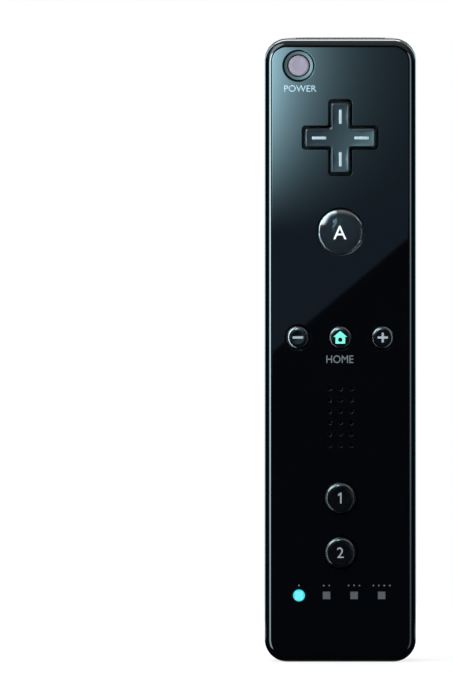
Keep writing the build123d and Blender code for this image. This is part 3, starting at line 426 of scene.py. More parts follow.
def eased(corners, steps=6):
    """A polyline of (u, v, radius): each inner corner becomes an arc tangent to both runs."""
    points = np.array([corner[:2] for corner in corners], float)
    runs = [points[:1]]
    for before, here, after, corner in zip(points, points[1:], points[2:], corners[1:]):
        radius = max(corner[2], 1e-4)
        ahead, behind = unit(before - here), unit(after - here)
        half = np.arccos(np.clip(ahead @ behind, -1, 1)) / 2
        centre = here + unit(ahead + behind) * radius / np.sin(half)
        start, end = (here + side * radius / np.tan(half) - centre for side in (ahead, behind))
        turn = np.arctan2(start[0] * end[1] - start[1] * end[0], start @ end)
        angle = np.linspace(0, turn, steps + 1)[:, None]
        aside = np.array([-start[1], start[0]])
        runs.append(centre + np.cos(angle) * start + np.sin(angle) * aside)
    return np.concatenate(runs + [points[-1:]])


def ring(x, z, radius, sides=72):
    """Circle in the face's plane: (x + r sin t, z + r cos t)."""
    angle = np.linspace(0, 2 * np.pi, sides, endpoint=False)
    return np.stack([x + radius * np.sin(angle), z + radius * np.cos(angle)], -1)


def slab(x, z, half_x, half_z, radius, steps=12):
    """Rectangle with round corners in the face's plane, as four quarter circles."""
    angle = np.linspace(0, np.pi / 2, steps + 1)
    quarter = np.stack([np.sin(angle), np.cos(angle)], -1)
    reach = np.array([half_x - radius, half_z - radius])
    ways = ((1, 1, 1), (1, -1, -1), (-1, -1, 1), (-1, 1, -1))
    parts = [np.array([u, v]) * (reach + radius * quarter[::order]) for u, v, order in ways]
    return np.concatenate(parts) + np.array([x, z])


def cross(x, z, span, arm, outer, inner):
    """Cross outline: each arm's end has two outer rounds, each armpit one inner round."""
    angle = np.linspace(0, np.pi / 2, 7)
    out = np.stack([np.sin(angle), np.cos(angle)], -1)
    pit = np.stack([np.cos(angle), np.sin(angle)], -1)
    right = np.array([arm - outer, span - outer]) + outer * out
    armpit = np.array([arm + inner, arm + inner]) - inner * pit
    side = np.array([span - outer, arm - outer]) + outer * out
    quarter = np.concatenate([right, armpit, side])
    turn = np.array([[0.0, -1.0], [1.0, 0.0]])
    parts = [quarter]
    for _ in range(3):
        parts.append(parts[-1] @ turn)
    return np.concatenate(parts) + np.array([x, z])


def lifted(loop, depth):
    """Puts an outline of the face's plane at a depth: (u, v) becomes (u, depth, v)."""
    return np.stack([loop[:, 0], np.full(len(loop), float(depth)), loop[:, 1]], -1)


def grid_faces(rows, columns, closed=True):
    """Quads between neighbouring rows and columns of a grid whose columns may meet round."""
    row = np.arange(rows - 1)[:, None]
    column = np.arange(columns if closed else columns - 1)[None]
    after = (column + 1) % columns
    quads = [row * columns + column, row * columns + after]
    quads += [(row + 1) * columns + after, (row + 1) * columns + column]
    return np.stack(quads, -1).reshape(-1, 4)


def swept(outline, profile):
    """A wall: outline(growth) at each (growth, depth) of the profile, joined by quads."""
    loops = [lifted(outline(growth), depth) for growth, depth in profile]
    return np.concatenate(loops), grid_faces(len(loops), len(loops[0])).tolist()


def filled(loops, depth):
    """A flat face at a depth, inside the first outline and outside the others."""
    points = np.concatenate([lifted(loop, depth) for loop in loops])
    flat = [[Vector((u, v, 0)) for u, v in loop] for loop in loops]
    triangles = geometry.tessellate_polygon(flat)
    return points, [list(triangle) for triangle in triangles]


def turned(profile, x, z, sides=96):
    """Surface of revolution about Y: every (radius, depth) of the profile goes round (x, z)."""
    return swept(lambda radius: ring(x, z, radius, sides), profile)


WELD = 2e-4


def solid(name, patches, crease=35.0):
    """One mesh of all patches in millimetres: joined, facing outwards and smooth below an angle."""
    points, faces, count = [], [], 0
    for spots, corners in patches:
        points.append(spots)
        faces += [[count + index for index in face] for face in corners]
        count += len(spots)
    mesh = bpy.data.meshes.new(name)
    mesh.from_pydata((np.concatenate(points) * MM).tolist(), [], faces)
    work = bmesh.new()
    work.from_mesh(mesh)
    bmesh.ops.remove_doubles(work, verts=work.verts, dist=WELD * MM)
    bmesh.ops.dissolve_degenerate(work, edges=work.edges, dist=WELD * MM)
    bmesh.ops.recalc_face_normals(work, faces=work.faces)
    work.to_mesh(mesh)
    work.free()
    smooth_below(mesh, crease)
    return linked(name, mesh)


def lip(radius):
    """A rolled edge from the face into a hole: a quarter round, then straight to the inner face."""
    return eased([(radius + 0.05, FACE, 0), (0.0, FACE, radius), (0.0, INNER_FACE, 0)])


rim = eased(
    [
        (-WALL, 0.0, 0), (-SEAM_CHAMFER, 0.0, 0), (0.0, -SEAM_CHAMFER, 0),
        (0.0, FACE, EDGE_ROUND), (-EDGE_ROUND - 0.1, FACE, 0),
    ],
    10,
)
def pad_hole(g):
    return cross(0, PAD_Z, PAD_HOLE + g, PAD_HOLE_ARM + g, 0.7 + g, 0.6 - g)


def round_hole(x, z, radius, sides=72):
    return lambda g: ring(x, z, radius + g, sides)


def window_hole(x):
    return lambda g: slab(x, WINDOW_Z, WINDOW_HALF + g, WINDOW_HALF + g, WINDOW_CORNER + g, 4)


holes = [(pad_hole, lip(0.28)), (round_hole(0, A_Z, A_RADIUS + PLAY, 96), lip(0.3))]
for key_z in (ONE_Z, TWO_Z):
    holes.append((round_hole(0, key_z, NUMBER_RADIUS + PLAY), lip(0.25)))
for key_x in (-MENU_PITCH, 0.0, MENU_PITCH):
    holes.append((round_hole(key_x, MENU_Z, MENU_RADIUS + PLAY), lip(0.22)))
WELL_WALL = WELL_MOUTH - WELL_RADIUS
well = eased(
    [
        (WELL_WALL + 0.4, FACE, 0), (WELL_WALL, FACE, 0.3), (WELL_WALL, WELL_FLOOR, 0.25),
        (0.0, WELL_FLOOR, 0.08), (0.0, INNER_FACE, 0),
    ]
)
holes.append((round_hole(POWER_X, POWER_Z, WELL_RADIUS), well))
for column in (-1, 0, 1):
    for row in range(6):
        hole_z = SPEAKER_Z + (row - 2.5) * SPEAKER_STEP_Z
        holes.append((round_hole(column * SPEAKER_STEP_X, hole_z, SPEAKER_HOLE, 28), lip(0.14)))
holes += [(window_hole(window_x), lip(0.05)) for window_x in WINDOW_X]


def plan(growth):
    """The wand's plan outline, moved outwards by a growth."""
    half_length = BODY_LENGTH / 2
    return slab(0, half_length, HALF_WIDTH + growth, half_length + growth, PLAN_CORNER + growth, 20)


patches = [swept(plan, rim)]
patches += [swept(outline, profile) for outline, profile in holes]
face_loops = [outline(profile[0][0]) for outline, profile in holes]
patches.append(filled([plan(rim[-1][0])] + face_loops, FACE))
patches.append(filled([plan(-WALL)] + [outline(0.0) for outline, _ in holes], INNER_FACE))
patches.append(swept(plan, [(-WALL, INNER_FACE), (-WALL, 0.0)]))


def end_cutter(name, y, half_x, half_y, radius, low, high):
    """A rounded bar along Z, to open an end wall: its outline in X and Y is a slab."""
    bar = slab(0, y, half_x, half_y, radius, 8)
    walls, faces = swept(lambda growth: bar, [(0, low), (0, high)])
    ends = [filled([bar], level) for level in (low, high)]
    parts = [(walls, faces), *ends]
    return solid(name, [(spots[:, [0, 2, 1]], corners) for spots, corners in parts])


def carved(piece, cutters):
    """Takes the cutters' solids out of a piece, then removes the cutters."""
    for cutter in cutters:
        cut = piece.modifiers.new(cutter.name, "BOOLEAN")
        cut.object, cut.operation, cut.solver = cutter, "DIFFERENCE", "EXACT"
    settled(piece).data.set_sharp_from_angle(angle=np.radians(35.0))
    for cutter in cutters:
        bpy.data.objects.remove(cutter)
    return piece


gloss = moulded("piano_black_abs", "#030406", 0.05, 30.0, 0.002, uneven=0.02, specular=0.3)
# Painted glow: cyan emission in a disc round the first indicator window, painted onto the black
# shell itself.
lit(gloss, LIT_X, WINDOW_Z, 1.5, 0.22, GLOW)
port_cut = end_cutter("port_cut", 0.0, 9.7, 4.8, 0.3, -1.0, 3.0)
window_cut = end_cutter("window_cut", 1.8, 10.6, 6.3, 3.1, 145.0, 149.0)
face_shell = weighted(carved(solid("face_shell", patches), [port_cut, window_cut]))
dressed(face_shell, gloss, "root", "gloss_shell", "front_shell")

# Direction pad. A gloss black cross with a shallow dish across its top, four line marks and a
# softly rolled edge. It rocks on the moulded nub behind it, which is cut as a node of its own.
PAD_SPAN, PAD_ARM, PAD_TOP, PAD_DISH = 8.4, 2.3, -10.4, 0.55
KEY_BASE, DISH_START, DISH_MARGIN = -6.0, -7.5, 0.75


def dish(across, along):
    """Depth of the pad's top: deepest at its middle, rising with the square of the distance."""
    far = np.minimum((across**2 + along**2) / PAD_SPAN**2, 1.0)
    return PAD_TOP + PAD_DISH * (1 - far)


def pad_outline(growth):
    return cross(0, PAD_Z, PAD_SPAN + growth, PAD_ARM + growth, 0.75 + growth, 0.35 - growth)


pad_edge = eased([(0.0, KEY_BASE, 0), (0.0, PAD_TOP, 0.42), (-0.45, PAD_TOP, 0)], 6)
pad_walls = []
for growth, depth in pad_edge:
    loop = lifted(pad_outline(growth), depth)
    fall = dish(loop[:, 0], loop[:, 2] - PAD_Z) - PAD_TOP
    loop[:, 1] += fall * np.clip((depth - DISH_START) / (PAD_TOP - DISH_START), 0, 1)
    pad_walls.append(loop)
pad_side = np.concatenate(pad_walls), grid_faces(len(pad_walls), len(pad_walls[0])).tolist()
edge_loop = pad_outline(pad_edge[-1][0])
step = np.arange(-8.0, 8.01, 0.5)
inner = np.stack(np.meshgrid(step, step), -1).reshape(-1, 2)
near, far = np.abs(inner).min(1), np.abs(inner).max(1)
inside = (near < PAD_ARM - DISH_MARGIN) & (far < PAD_SPAN - DISH_MARGIN)
inner = inner[inside] + np.array([0, PAD_Z])
loose = np.concatenate([edge_loop, inner])
count = len(edge_loop)
bounds_2d = [(i, (i + 1) % count) for i in range(count)]
flat_points, _, flat_faces, *_ = geometry.delaunay_2d_cdt(
    [Vector(p) for p in loose], bounds_2d, [], 1, 1e-5
)
flat_points = np.array([tuple(p) for p in flat_points])
top = lifted(flat_points, 0)
top[:, 1] = dish(top[:, 0], top[:, 2] - PAD_Z)
bottom = filled([pad_outline(0.0)], KEY_BASE)
pad_gloss = moulded("pad_gloss_abs", "#06090c", 0.2, 0.3, 0.002, uneven=0.05, specular=0.4)
pad = solid("direction_cross", [pad_side, (top, [list(f) for f in flat_faces]), bottom], 50)
dressed(weighted(pad), pad_gloss, "pad", "pad_plastic", "direction_pad")
pivot = moulded("pivot_acetal", "#2a2d30", 0.45, 0.3, 0.005)
kept("direction_pad_pivot", pivot, "pad_plastic", "pad_pivot")

MARK_HALF_WIDTH, MARK_LOW, MARK_HIGH = 0.33, 3.35, 6.75


def laid(loop, surface, lift):
    """An outline laid on a surface and raised: depth is surface(u, v) - lift."""
    spots = lifted(loop, 0)
    spots[:, 1] = surface(spots[:, 0], spots[:, 2]) - lift
    return spots


INK, MARK_CORNER = (-0.05, 0.03), 0.15


def strip(x, z, half_x, half_z, surface):
    """A thin printed mark: a rounded slab outline, its top following a surface's depth."""
    lines = []
    for growth, lift in ((0.0, -0.12), (0.0, INK[1] * 0.6), (-0.06, INK[1])):
        loop = slab(x, z, half_x + growth, half_z + growth, MARK_CORNER + growth / 2, 4)
        lines.append(laid(loop, surface, lift))
    count = len(lines[0])
    start = (len(lines) - 1) * count
    ends = [list(range(start, start + count)), list(range(count))[::-1]]
    return np.concatenate(lines), grid_faces(len(lines), count).tolist() + ends


pad_surface = lambda across, along: dish(across, along - PAD_Z)
mark_middle, mark_half = (MARK_LOW + MARK_HIGH) / 2, (MARK_HIGH - MARK_LOW) / 2
marks = []
for sign in (-1, 1):
    marks.append(strip(0, PAD_Z + sign * mark_middle, MARK_HALF_WIDTH, mark_half, pad_surface))
    marks.append(strip(sign * mark_middle, PAD_Z, mark_half, MARK_HALF_WIDTH, pad_surface))
mark_ink = moulded("pad_mark_ink", "#8f9aa1", 0.45, 0.3, 0.002)
dressed(solid("direction_marks", marks, 60), mark_ink, "pad", "pad_plastic")

# Main button. A clear acrylic dome over a dark core, so that it looks like a drop of glass.
# Its white letter is printed on the dome's crown.
A_EDGE, A_TOP, LENS_BASE, CORE_BASE, CORE_TOP = -8.3, -9.8, -7.92, -6.25, -7.88


def dome(across, along):
    """Sphere cap through the dome's edge and crown: depth by the distance from its middle."""
    rise = A_EDGE - A_TOP
    radius = (A_RADIUS**2 + rise**2) / (2 * rise)
    away = np.minimum(across**2 + (along - A_Z) ** 2, A_RADIUS**2)
    return A_TOP + radius - np.sqrt(radius**2 - away)


crown = np.linspace(A_RADIUS - 0.12, 0, 24)
crown_line = [(r, float(dome(r, A_Z))) for r in crown]
lens_line = [(0.0, LENS_BASE), (A_RADIUS - 0.05, LENS_BASE), (A_RADIUS, LENS_BASE - 0.06)]
lens_line += [(A_RADIUS, A_EDGE + 0.1), (A_RADIUS - 0.05, A_EDGE)] + crown_line
clear = Finish("clear_acrylic", Metallic=1.0, Roughness=0.03, Base_Color=(1, 1, 1, 1))
haze = clear.noise(3.0)
clear.feed("Roughness", 0.02 + haze * 0.02)
through = clear.node("ShaderNodeBsdfTransparent", {}, {"Color": (0.9, 0.93, 0.95, 1)})
turned_away = clear.node("ShaderNodeLayerWeight", {}, {"Blend": 0.5}, "Facing")
grazing = clear.node("ShaderNodeMath", {"operation": "POWER"}, {0: turned_away, 1: 4.0})
gloss_share = 0.006 + turned_away.band(0.06, 0.115) * 0.1 + grazing * 0.85
clear.mixed(gloss_share, through, clear.body())
lens = solid("main_button_dome", [turned(lens_line, 0, A_Z)])
dressed(lens, clear, "a_key", "clear_lens", "a_button")
core = moulded("main_button_core", "#07090c", 0.5, 0.3, 0.002, specular=0.2)
core_line = [(0.0, CORE_BASE), (5.2, CORE_BASE), (5.2, -7.8), (5.1, CORE_TOP), (0.0, CORE_TOP)]
core_stem = solid("main_button_stem", [turned(core_line, 0, A_Z)])
dressed(core_stem, core, "a_key", "dark_core", "a_core")


def lettering(name, words, width, height, x, z, surface, finish, body, slot, weight=0.0):
    """Letters as thin raised ink: a text's mesh scaled to a width and height about (x, z)."""
    curve = bpy.data.curves.new(name + "_text", "FONT")
    curve.body, curve.size, curve.offset, curve.extrude = words, 1.0, weight, 0.01
    curve.resolution_u = 6
    holder = linked(name + "_text", curve)
    graph = bpy.context.evaluated_depsgraph_get()
    mesh = bpy.data.meshes.new_from_object(holder.evaluated_get(graph))
    bpy.data.objects.remove(holder)
    spots = read(mesh.vertices, "co", 3)
    low, high = spots.min(0), spots.max(0)
    flat = (spots[:, :2] - (low + high)[:2] / 2) / (high - low)[:2]
    across, along = flat[:, 0] * width + x, flat[:, 1] * height + z
    lift = np.where(spots[:, 2] > 0, INK[1], INK[0])
    placed = np.stack([across, surface(across, along) - lift, along], -1) * MM
    mesh.vertices.foreach_set("co", placed.ravel())
    mesh.name = name
    mesh.update()
    return dressed(linked(name, mesh), finish, body, slot)


white_ink = moulded("white_ink", "#7c8286", 0.4, 0.2, 0.001)
letter_ink = moulded("letter_ink", "#f2f6f8", 0.4, 0.2, 0.001)
lettering("main_letter", "A", 3.1, 3.2, -0.1, 102.2, dome, letter_ink, "a_key", "clear_lens", 0.0)


# Round face keys. Gloss black acrylic caps with a rolled rim and a faintly hollow top: minus, home
# and plus in the middle, 1 and 2 near the tail. Their signs are printed in pale ink.
key_gloss = moulded("key_gloss_acrylic", "#05070a", 0.14, 0.3, 0.001, uneven=0.04, specular=0.85)


def key_cap(name, x, z, radius, top, edge, hollow, body, node):
    """A turned cap: straight side, rolled rim, then a top that sinks by hollow to its middle."""
    rim_line = eased([(radius, KEY_BASE, 0), (radius, top, edge), (radius - 2 * edge, top, 0)], 8)
    reach = np.linspace(radius - 1.15 * edge, 0, 14)
    sunk = [(r, top + hollow * (1 - (r / reach[0]) ** 2)) for r in reach]
    line = [(0.0, KEY_BASE)] + [tuple(p) for p in rim_line[:-1]] + sunk
    cap = weighted(solid(name, [turned(line, x, z)]))
    dressed(cap, key_gloss, body, "button_plastic", node)
    return lambda across, along: top + hollow * (
        1 - np.minimum(((across - x) ** 2 + (along - z) ** 2) / reach[0] ** 2, 1)
    )


MENU_SHAPE = (MENU_RADIUS, -8.95, 1.05, 0.1)
NUMBER_SHAPE = (NUMBER_RADIUS, -9.35, 1.5, 0.16)
minus_top, home_top, plus_top, one_top, two_top = (
    key_cap(word + "_cap", x, z, *shape, word + "_key", word + "_button")
    for word, x, z, shape in (
        ("minus", -MENU_PITCH, MENU_Z, MENU_SHAPE),
        ("home", 0.0, MENU_Z, MENU_SHAPE),
        ("plus", MENU_PITCH, MENU_Z, MENU_SHAPE),
        ("one", 0.0, ONE_Z, NUMBER_SHAPE),
        ("two", 0.0, TWO_Z, NUMBER_SHAPE),
    )
)
sign_ink = moulded("sign_ink", "#858d92", 0.4, 0.2, 0.001)
minus_sign = solid("minus_sign", [strip(-MENU_PITCH, MENU_Z, 1.25, 0.28, minus_top)], 60)
dressed(minus_sign, sign_ink, "minus_key", "button_plastic")
plus_bars = [strip(MENU_PITCH, MENU_Z, 1.25, 0.27, plus_top)]
for end in (-1, 1):
    plus_bars.append(strip(MENU_PITCH, MENU_Z + end * 0.7, 0.27, 0.46, plus_top))
dressed(solid("plus_sign", plus_bars, 60), sign_ink, "plus_key", "button_plastic")
figure = np.array(
    [
        (-0.15, 1.3), (0.18, 1.3), (0.18, -1.3), (-0.18, -1.3),
        (-0.18, 0.78), (-0.7, 0.5), (-0.7, 0.85),
    ]
)


def flat_sign(outlines, surface):
    """A flat sign laid on a surface: the first outline less the others, in the face's plane."""
    parts = []
    for lift in INK:
        spots, faces = filled(outlines, 0)
        parts.append((laid(spots[:, [0, 2]], surface, lift), faces))
    for outline in outlines:
        lines = [laid(outline, surface, lift) for lift in INK]
        parts.append((np.concatenate(lines), grid_faces(2, len(outline)).tolist()))
    return parts


one_sign = solid("one_numeral", flat_sign([figure + [0.12, ONE_Z]], one_top), 30)
dressed(one_sign, white_ink, "one_key", "button_plastic")
lettering("two_numeral", "2", 1.6, 2.5, 0.0, TWO_Z, two_top, white_ink, "two_key", "button_plastic")
mint = moulded("mint_ink_painted_glow", "#62cdb6", 0.4, 0.2, 0.001)
# Painted glow: a faint mint emission makes the printed house sign shine, though the ink is no lamp.
mint.shader.inputs["Emission Color"].default_value = (*paint("#3fc9b4"), 1)
mint.shader.inputs["Emission Strength"].default_value = 0.22
roof = np.array(
    [
        (0, 1.55), (1.65, 0.15), (1.15, 0.15), (1.15, -1.45),
        (-1.15, -1.45), (-1.15, 0.15), (-1.65, 0.15),
    ]
)
door = ring(0, -0.55, 0.52, 24)
house = flat_sign([roof + [0, MENU_Z], door + [0, MENU_Z]], home_top)
dressed(solid("home_sign", house, 30), mint, "home_key", "button_plastic")

# Power button. A small mauve-grey cap at the bottom of a round well, low enough not to be pressed
# by a sleeve.
power_cap = moulded("power_mauve", "#7f7582", 0.42, 0.2, 0.003, specular=0.15)
CAP_RADIUS, CAP_TOP, CAP_FLAT, CAP_SINK = 2.45, -8.05, 1.6, 0.1
cap_rim = eased([(CAP_RADIUS, KEY_BASE, 0), (CAP_RADIUS, CAP_TOP, 0.45), (CAP_FLAT, CAP_TOP, 0)], 8)
cap_line = [(0.0, KEY_BASE)] + [tuple(p) for p in cap_rim]
for r in np.linspace(1.55, 0, 10):
    cap_line.append((r, CAP_TOP + CAP_SINK * (1 - (r / CAP_FLAT) ** 2)))
power = weighted(solid("power_cap", [turned(cap_line, POWER_X, POWER_Z)]))
dressed(power, power_cap, "power", "power_plastic", "power_button")

# Printed words and dots. Pale inks on the gloss face: one word by the power button, one under the
# home key, and one to four dots that count the indicator windows.
face_level = lambda across, along: np.full(np.shape(across), FACE)
pale_ink = moulded("pale_ink", "#8699a3", 0.5, 0.2, 0.001)
dim_ink = moulded("dim_ink", "#50565b", 0.5, 0.2, 0.001)
ON_FACE = ("root", "gloss_shell", 0.005)
lettering("power_word", "POWER", 7.7, 1.55, -9.52, 136.4, face_level, pale_ink, *ON_FACE)
lettering("home_word", "HOME", 6.45, 1.85, -0.1, 72.0, face_level, dim_ink, *ON_FACE)
DOT_Z, DOT_PITCH, DOT_RADIUS, DOT_CROWN = 18.15, 1.3, 0.19, 0.16
dot_line = [(0, FACE + 0.05), (DOT_RADIUS, FACE + 0.05), (DOT_RADIUS, FACE - 0.015)]
dot_line += [(DOT_CROWN, FACE - 0.03), (0, FACE - 0.03)]
dots = []
for number, window_x in enumerate(WINDOW_X, 1):
    for place in range(number):
        dot_x = window_x + (place - (number - 1) / 2) * DOT_PITCH
        dots.append(turned(dot_line, dot_x, DOT_Z, 16))
dressed(solid("count_dots", dots, 60), dim_ink, "root", "gloss_shell")

# Trigger. A hooked lever of smooth black ABS on the back, with a hollow for the finger. It turns on
# a steel pin through its two ears, and a wire spring round the pin pushes it out.
trigger_abs = moulded("trigger_abs", "#0d1921", 0.26, 0.3, 0.003, specular=0.45)


CHEEK_X, CHEEK_Y, CHEEK_ROUND, CHEEK_CREASE = 9.0, 12.6, 1.1, 32


def cheek_rounded(node):
    """A merged CAD copy whose outer edges are rounded where |x| is CHEEK_X and y past CHEEK_Y."""
    piece = merged(node, CHEEK_CREASE)
    piece.modifiers.clear()
    work = bmesh.new()
    work.from_mesh(piece.data)
    edges = [
        edge
        for edge in work.edges
        if len(edge.link_faces) == 2
        and edge.calc_face_angle(0) > 0.6
        and all(abs(v.co.x) > (CHEEK_X - 0.01) * MM and v.co.y > CHEEK_Y * MM for v in edge.verts)
    ]
    rounding = {"offset_type": "OFFSET", "segments": 5, "profile": 0.5, "affect": "EDGES"}
    bmesh.ops.bevel(work, geom=edges, offset=CHEEK_ROUND * MM, clamp_overlap=False, **rounding)
    work.to_mesh(piece.data)
    work.free()
    smooth_below(piece.data, CHEEK_CREASE)
    return weighted(piece)


trigger = cheek_rounded("trigger")
dressed(trigger, trigger_abs, "trigger_lever", "trigger_plastic", "trigger")
pin_steel = metal("pin_steel", "#c9ccce", 0.22, 0.1)
kept("trigger_pin", pin_steel, "steel")
wire_steel = metal("spring_wire", "#aab0b4", 0.28, 0.08)
kept("trigger_spring", wire_steel, "spring_steel")

# Cells and their contacts. Two alkaline cells lie side by side in the grip, held by conical wire
# springs at one end and nickel plates at the other.
wrap = Finish("cell_wrap", Specular_IOR_Level=0.5)
_, _, cell_z = wrap.axes()
COLLAR_LOW, COLLAR_HIGH = 71.5, 71.9
collar = cell_z.band(COLLAR_LOW, COLLAR_HIGH)
wrap.feed("Base Color", wrap.tint(collar, paint("#2b2f33"), paint("#b98a4e")))
wrap.feed("Metallic", 0.3 + collar * 0.4)
wrap.feed("Roughness", 0.28 + wrap.noise(6.0) * 0.1)
wrap.relief(wrap.noise(2.0), 0.01)
for cell in ("battery_left", "battery_right"):
    kept(cell, wrap, "cell")
nickel = metal("nickel_plate", "#c6c4bb", 0.3, 0.2)
kept("battery_springs", wire_steel, "spring_steel")
kept("battery_plates", nickel, "steel")

# Battery cover. A satin black ABS shell over the back of the grip, 1.6 mm thick. A thumb dip and a
# sprung tab with two slits free it at the tail, and a hooked lip holds it at the shoulder.
COVER_EDGE, COVER_LOW, COVER_HIGH, COVER_CORNER, COVER_WALL = 12.0, 6.3, 93.306, 4.5, 1.6
LAND, LAND_TOP, SLIT, SLIT_END = 6.5, 8.0, 0.6, 17.0


def outline_run(share, width, depth, corner, side):
    """Half the back, the quarter round and a side, one after another: a point at this share of
    their summed length, to the left or right of the middle by the share's sign."""
    arc, back = corner * np.pi / 2, width - corner
    run = np.abs(share) * (side + arc + back)
    angle = np.clip((run - back) / corner, 0, np.pi / 2)
    x = np.where(run < back, run, back + corner * np.sin(angle))
    y = depth - corner * (1 - np.cos(angle)) - np.maximum(run - back - arc, 0)
    return np.sign(share) * x, y


def cover_skin(across, z):
    """The section's outline from one cover edge, at -1, round to the other, at 1."""
    width, depth, corner = section(z)
    return outline_run(across, width, depth, corner, depth - corner - COVER_EDGE)


def steady_columns():
    """Columns that keep the tab's edges: dense round the corner, with stops at the slits."""
    half = GRIP_DEPTH - COVER_EDGE - GRIP_CORNER * (1 - np.pi / 2) + HALF_WIDTH - GRIP_CORNER
    stops = np.array([0, 2.2, 4.4, LAND, LAND + SLIT, 8.2]) / half
    return np.concatenate([stops, np.linspace((HALF_WIDTH - GRIP_CORNER) / half, 1, 34)])


right = steady_columns()
across = np.concatenate([-right[:0:-1], right])
dip_rows = np.array([0, 0.17, 0.33, 0.372, 0.385, 0.4, 0.45, 0.51, 0.58, 0.66, 0.74, 0.8, 0.9, 1.0])
long_rows = np.concatenate([np.linspace(SLIT_END, 84, 20)[1:], np.linspace(84, 88.0, 4)[1:]])
share = np.linspace(0, 1, 12)[1:]
edge_x, edge_y = cover_skin(across, np.full(len(across), 50.0))
corner_gap = np.clip(COVER_CORNER - (edge_y - COVER_EDGE), 0, COVER_CORNER)
inset = COVER_CORNER - np.sqrt(COVER_CORNER**2 - corner_gap**2)
low = np.where(np.abs(edge_x) < LAND + 0.1, LAND_TOP, COVER_LOW + inset)
high = COVER_HIGH - inset
rows = [low + (SLIT_END - low) * s for s in dip_rows]
rows += [np.full(len(across), z) for z in long_rows]
rows += [88.0 + (high - 88.0) * s for s in share]
rows = np.array(rows)
columns = np.tile(across, (len(rows), 1))
skin_x, skin_y = cover_skin(columns.ravel(), rows.ravel())
skin_x, skin_y = skin_x.reshape(rows.shape), skin_y.reshape(rows.shape)
fall = np.clip((14.9 - rows) / 2.3, 0, 1) * (rows > 11.35)
tab = np.abs(edge_x) < LAND - 0.05
skin_y = skin_y - 0.7 * fall**1.3 * tab
cover_points = np.stack([skin_x, skin_y, rows], -1).reshape(-1, 3)
quads = grid_faces(len(rows), len(across), False)
middle = cover_points[quads].mean(1)
aside = np.abs(middle[:, 0])
slit = (aside > LAND) & (aside < LAND + SLIT) & (middle[:, 2] < SLIT_END)
cover_abs = moulded("cover_satin_abs", "#0b1822", 0.31, 0.16, 0.004, specular=0.4)
cover = solid("grip_cover", [(cover_points, quads[~slit].tolist())], 30)
wall = cover.modifiers.new("wall", "SOLIDIFY")
wall.thickness, wall.offset, wall.use_even_offset = COVER_WALL * MM, -1, True
soft = cover.modifiers.new("soft_edge", "BEVEL")
soft.width, soft.segments = 0.2 * MM, 2
soft.limit_method, soft.angle_limit = "ANGLE", np.radians(50)
dressed(weighted(cover), cover_abs, "cover", "satin_cover", "battery_cover")

LIP_LOW, LIP_HIGH, LIP_STEP, LEDGE = 88.8, 94.9, 92.8, 93.66
LIP_COLUMNS = 60


def lip_loop(inset, z, reach, drop):
    """The cover's outline moved inwards by an inset, at one height, to a share of its length."""
    span = np.linspace(-reach, reach, LIP_COLUMNS)
    width, depth, corner = (np.full(LIP_COLUMNS, v) for v in section(np.array([z])))
    width, depth, corner = width - inset, depth - inset, corner - inset
    x, y = outline_run(span, width, depth, corner, depth - corner - COVER_EDGE + drop)
    return np.stack([x, y, np.full(LIP_COLUMNS, z)], -1)


def lip_bar(outline, reach, drop):
    """A bar under the cover's top edge, with this outline of (inset, z), closed at both ends."""
    loops = np.array([lip_loop(inset, z, reach, drop) for inset, z in outline])
    count = len(outline)
    last = (LIP_COLUMNS - 1) * count
    ends = [list(range(count)), list(range(last, last + count))]
    faces = grid_faces(LIP_COLUMNS, count).tolist()
    return loops.transpose(1, 0, 2).reshape(-1, 3), faces + ends


HOOK_OUT, HOOK_STEP, HOOK_IN = 1.5, 2.4, 3.1
hook = [(HOOK_OUT, LIP_LOW), (HOOK_IN, LIP_LOW), (HOOK_IN, LIP_HIGH)]
hook += [(HOOK_STEP, LIP_HIGH), (HOOK_STEP, LIP_STEP), (HOOK_OUT, LIP_STEP)]
ledge = [(0.3, LIP_STEP), (2.6, LIP_STEP), (2.6, LEDGE), (0.3, LEDGE)]
cover_lip = solid("cover_lip", [lip_bar(hook, 1.0, 1.2), lip_bar(ledge, 0.79, 0.0)], 40)
dressed(cover_lip, cover_abs, "cover", "satin_cover")

# Screws. Four pan-head steel screws hold the face from behind, two beside the nose and two under
# the battery cover.
screw_steel = metal("screw_steel", "#8f9396", 0.35, 0.1)
kept("housing_screws", screw_steel, "steel")


# Floor, light and camera. A pale floor and a white surround, soft lamps, and dark and glowing cards
# that only reflections see, as a studio sets them so that black gloss shows its shape.
def stage_plane(name, corners, finish):
    mesh = bpy.data.meshes.new(name)
    mesh.from_pydata([tuple(np.array(c) * MM) for c in corners], [], [list(range(len(corners)))])
    plane = linked(name, mesh)
    mesh.materials.append(finish.material)
    return plane


PALE = (0.86, 0.86, 0.86, 1)
floor_finish = Finish("pale_floor", Base_Color=PALE, Roughness=0.8, Specular_IOR_Level=0.1)
seen = floor_finish.node("ShaderNodeLightPath", output="Is Camera Ray")
bright = floor_finish.node("ShaderNodeEmission", {}, {"Color": (1, 1, 1, 1), "Strength": 1.0})
floor_finish.mixed(seen * 0.8, floor_finish.body(), bright)
FLOOR_RADIUS = 420
angle = np.linspace(0, 2 * np.pi, 96, endpoint=False)
floor_edge = [(FLOOR_RADIUS * np.cos(a), FLOOR_RADIUS * np.sin(a), 0) for a in angle]
stage_plane("floor", floor_edge, floor_finish)

world = bpy.data.worlds.new("studio")
bpy.context.scene.world = world
world.use_nodes = True
tree = world.node_tree
path = tree.nodes.new("ShaderNodeLightPath")
every = path.outputs["Is Camera Ray"]
for ray in ("Is Glossy Ray", "Is Transmission Ray"):
    either = tree.nodes.new("ShaderNodeMath")
    either.operation, either.use_clamp = "ADD", True
    tree.links.new(every, either.inputs[0])
    tree.links.new(path.outputs[ray], either.inputs[1])
    every = either.outputs[0]
surround = tree.nodes["Background"]
surround.inputs["Color"].default_value = (1, 1, 1, 1)
strength = tree.nodes.new("ShaderNodeMapRange")
strength.inputs["To Min"].default_value = 0.45
tree.links.new(every, strength.inputs["Value"])
tree.links.new(strength.outputs[0], surround.inputs["Strength"])


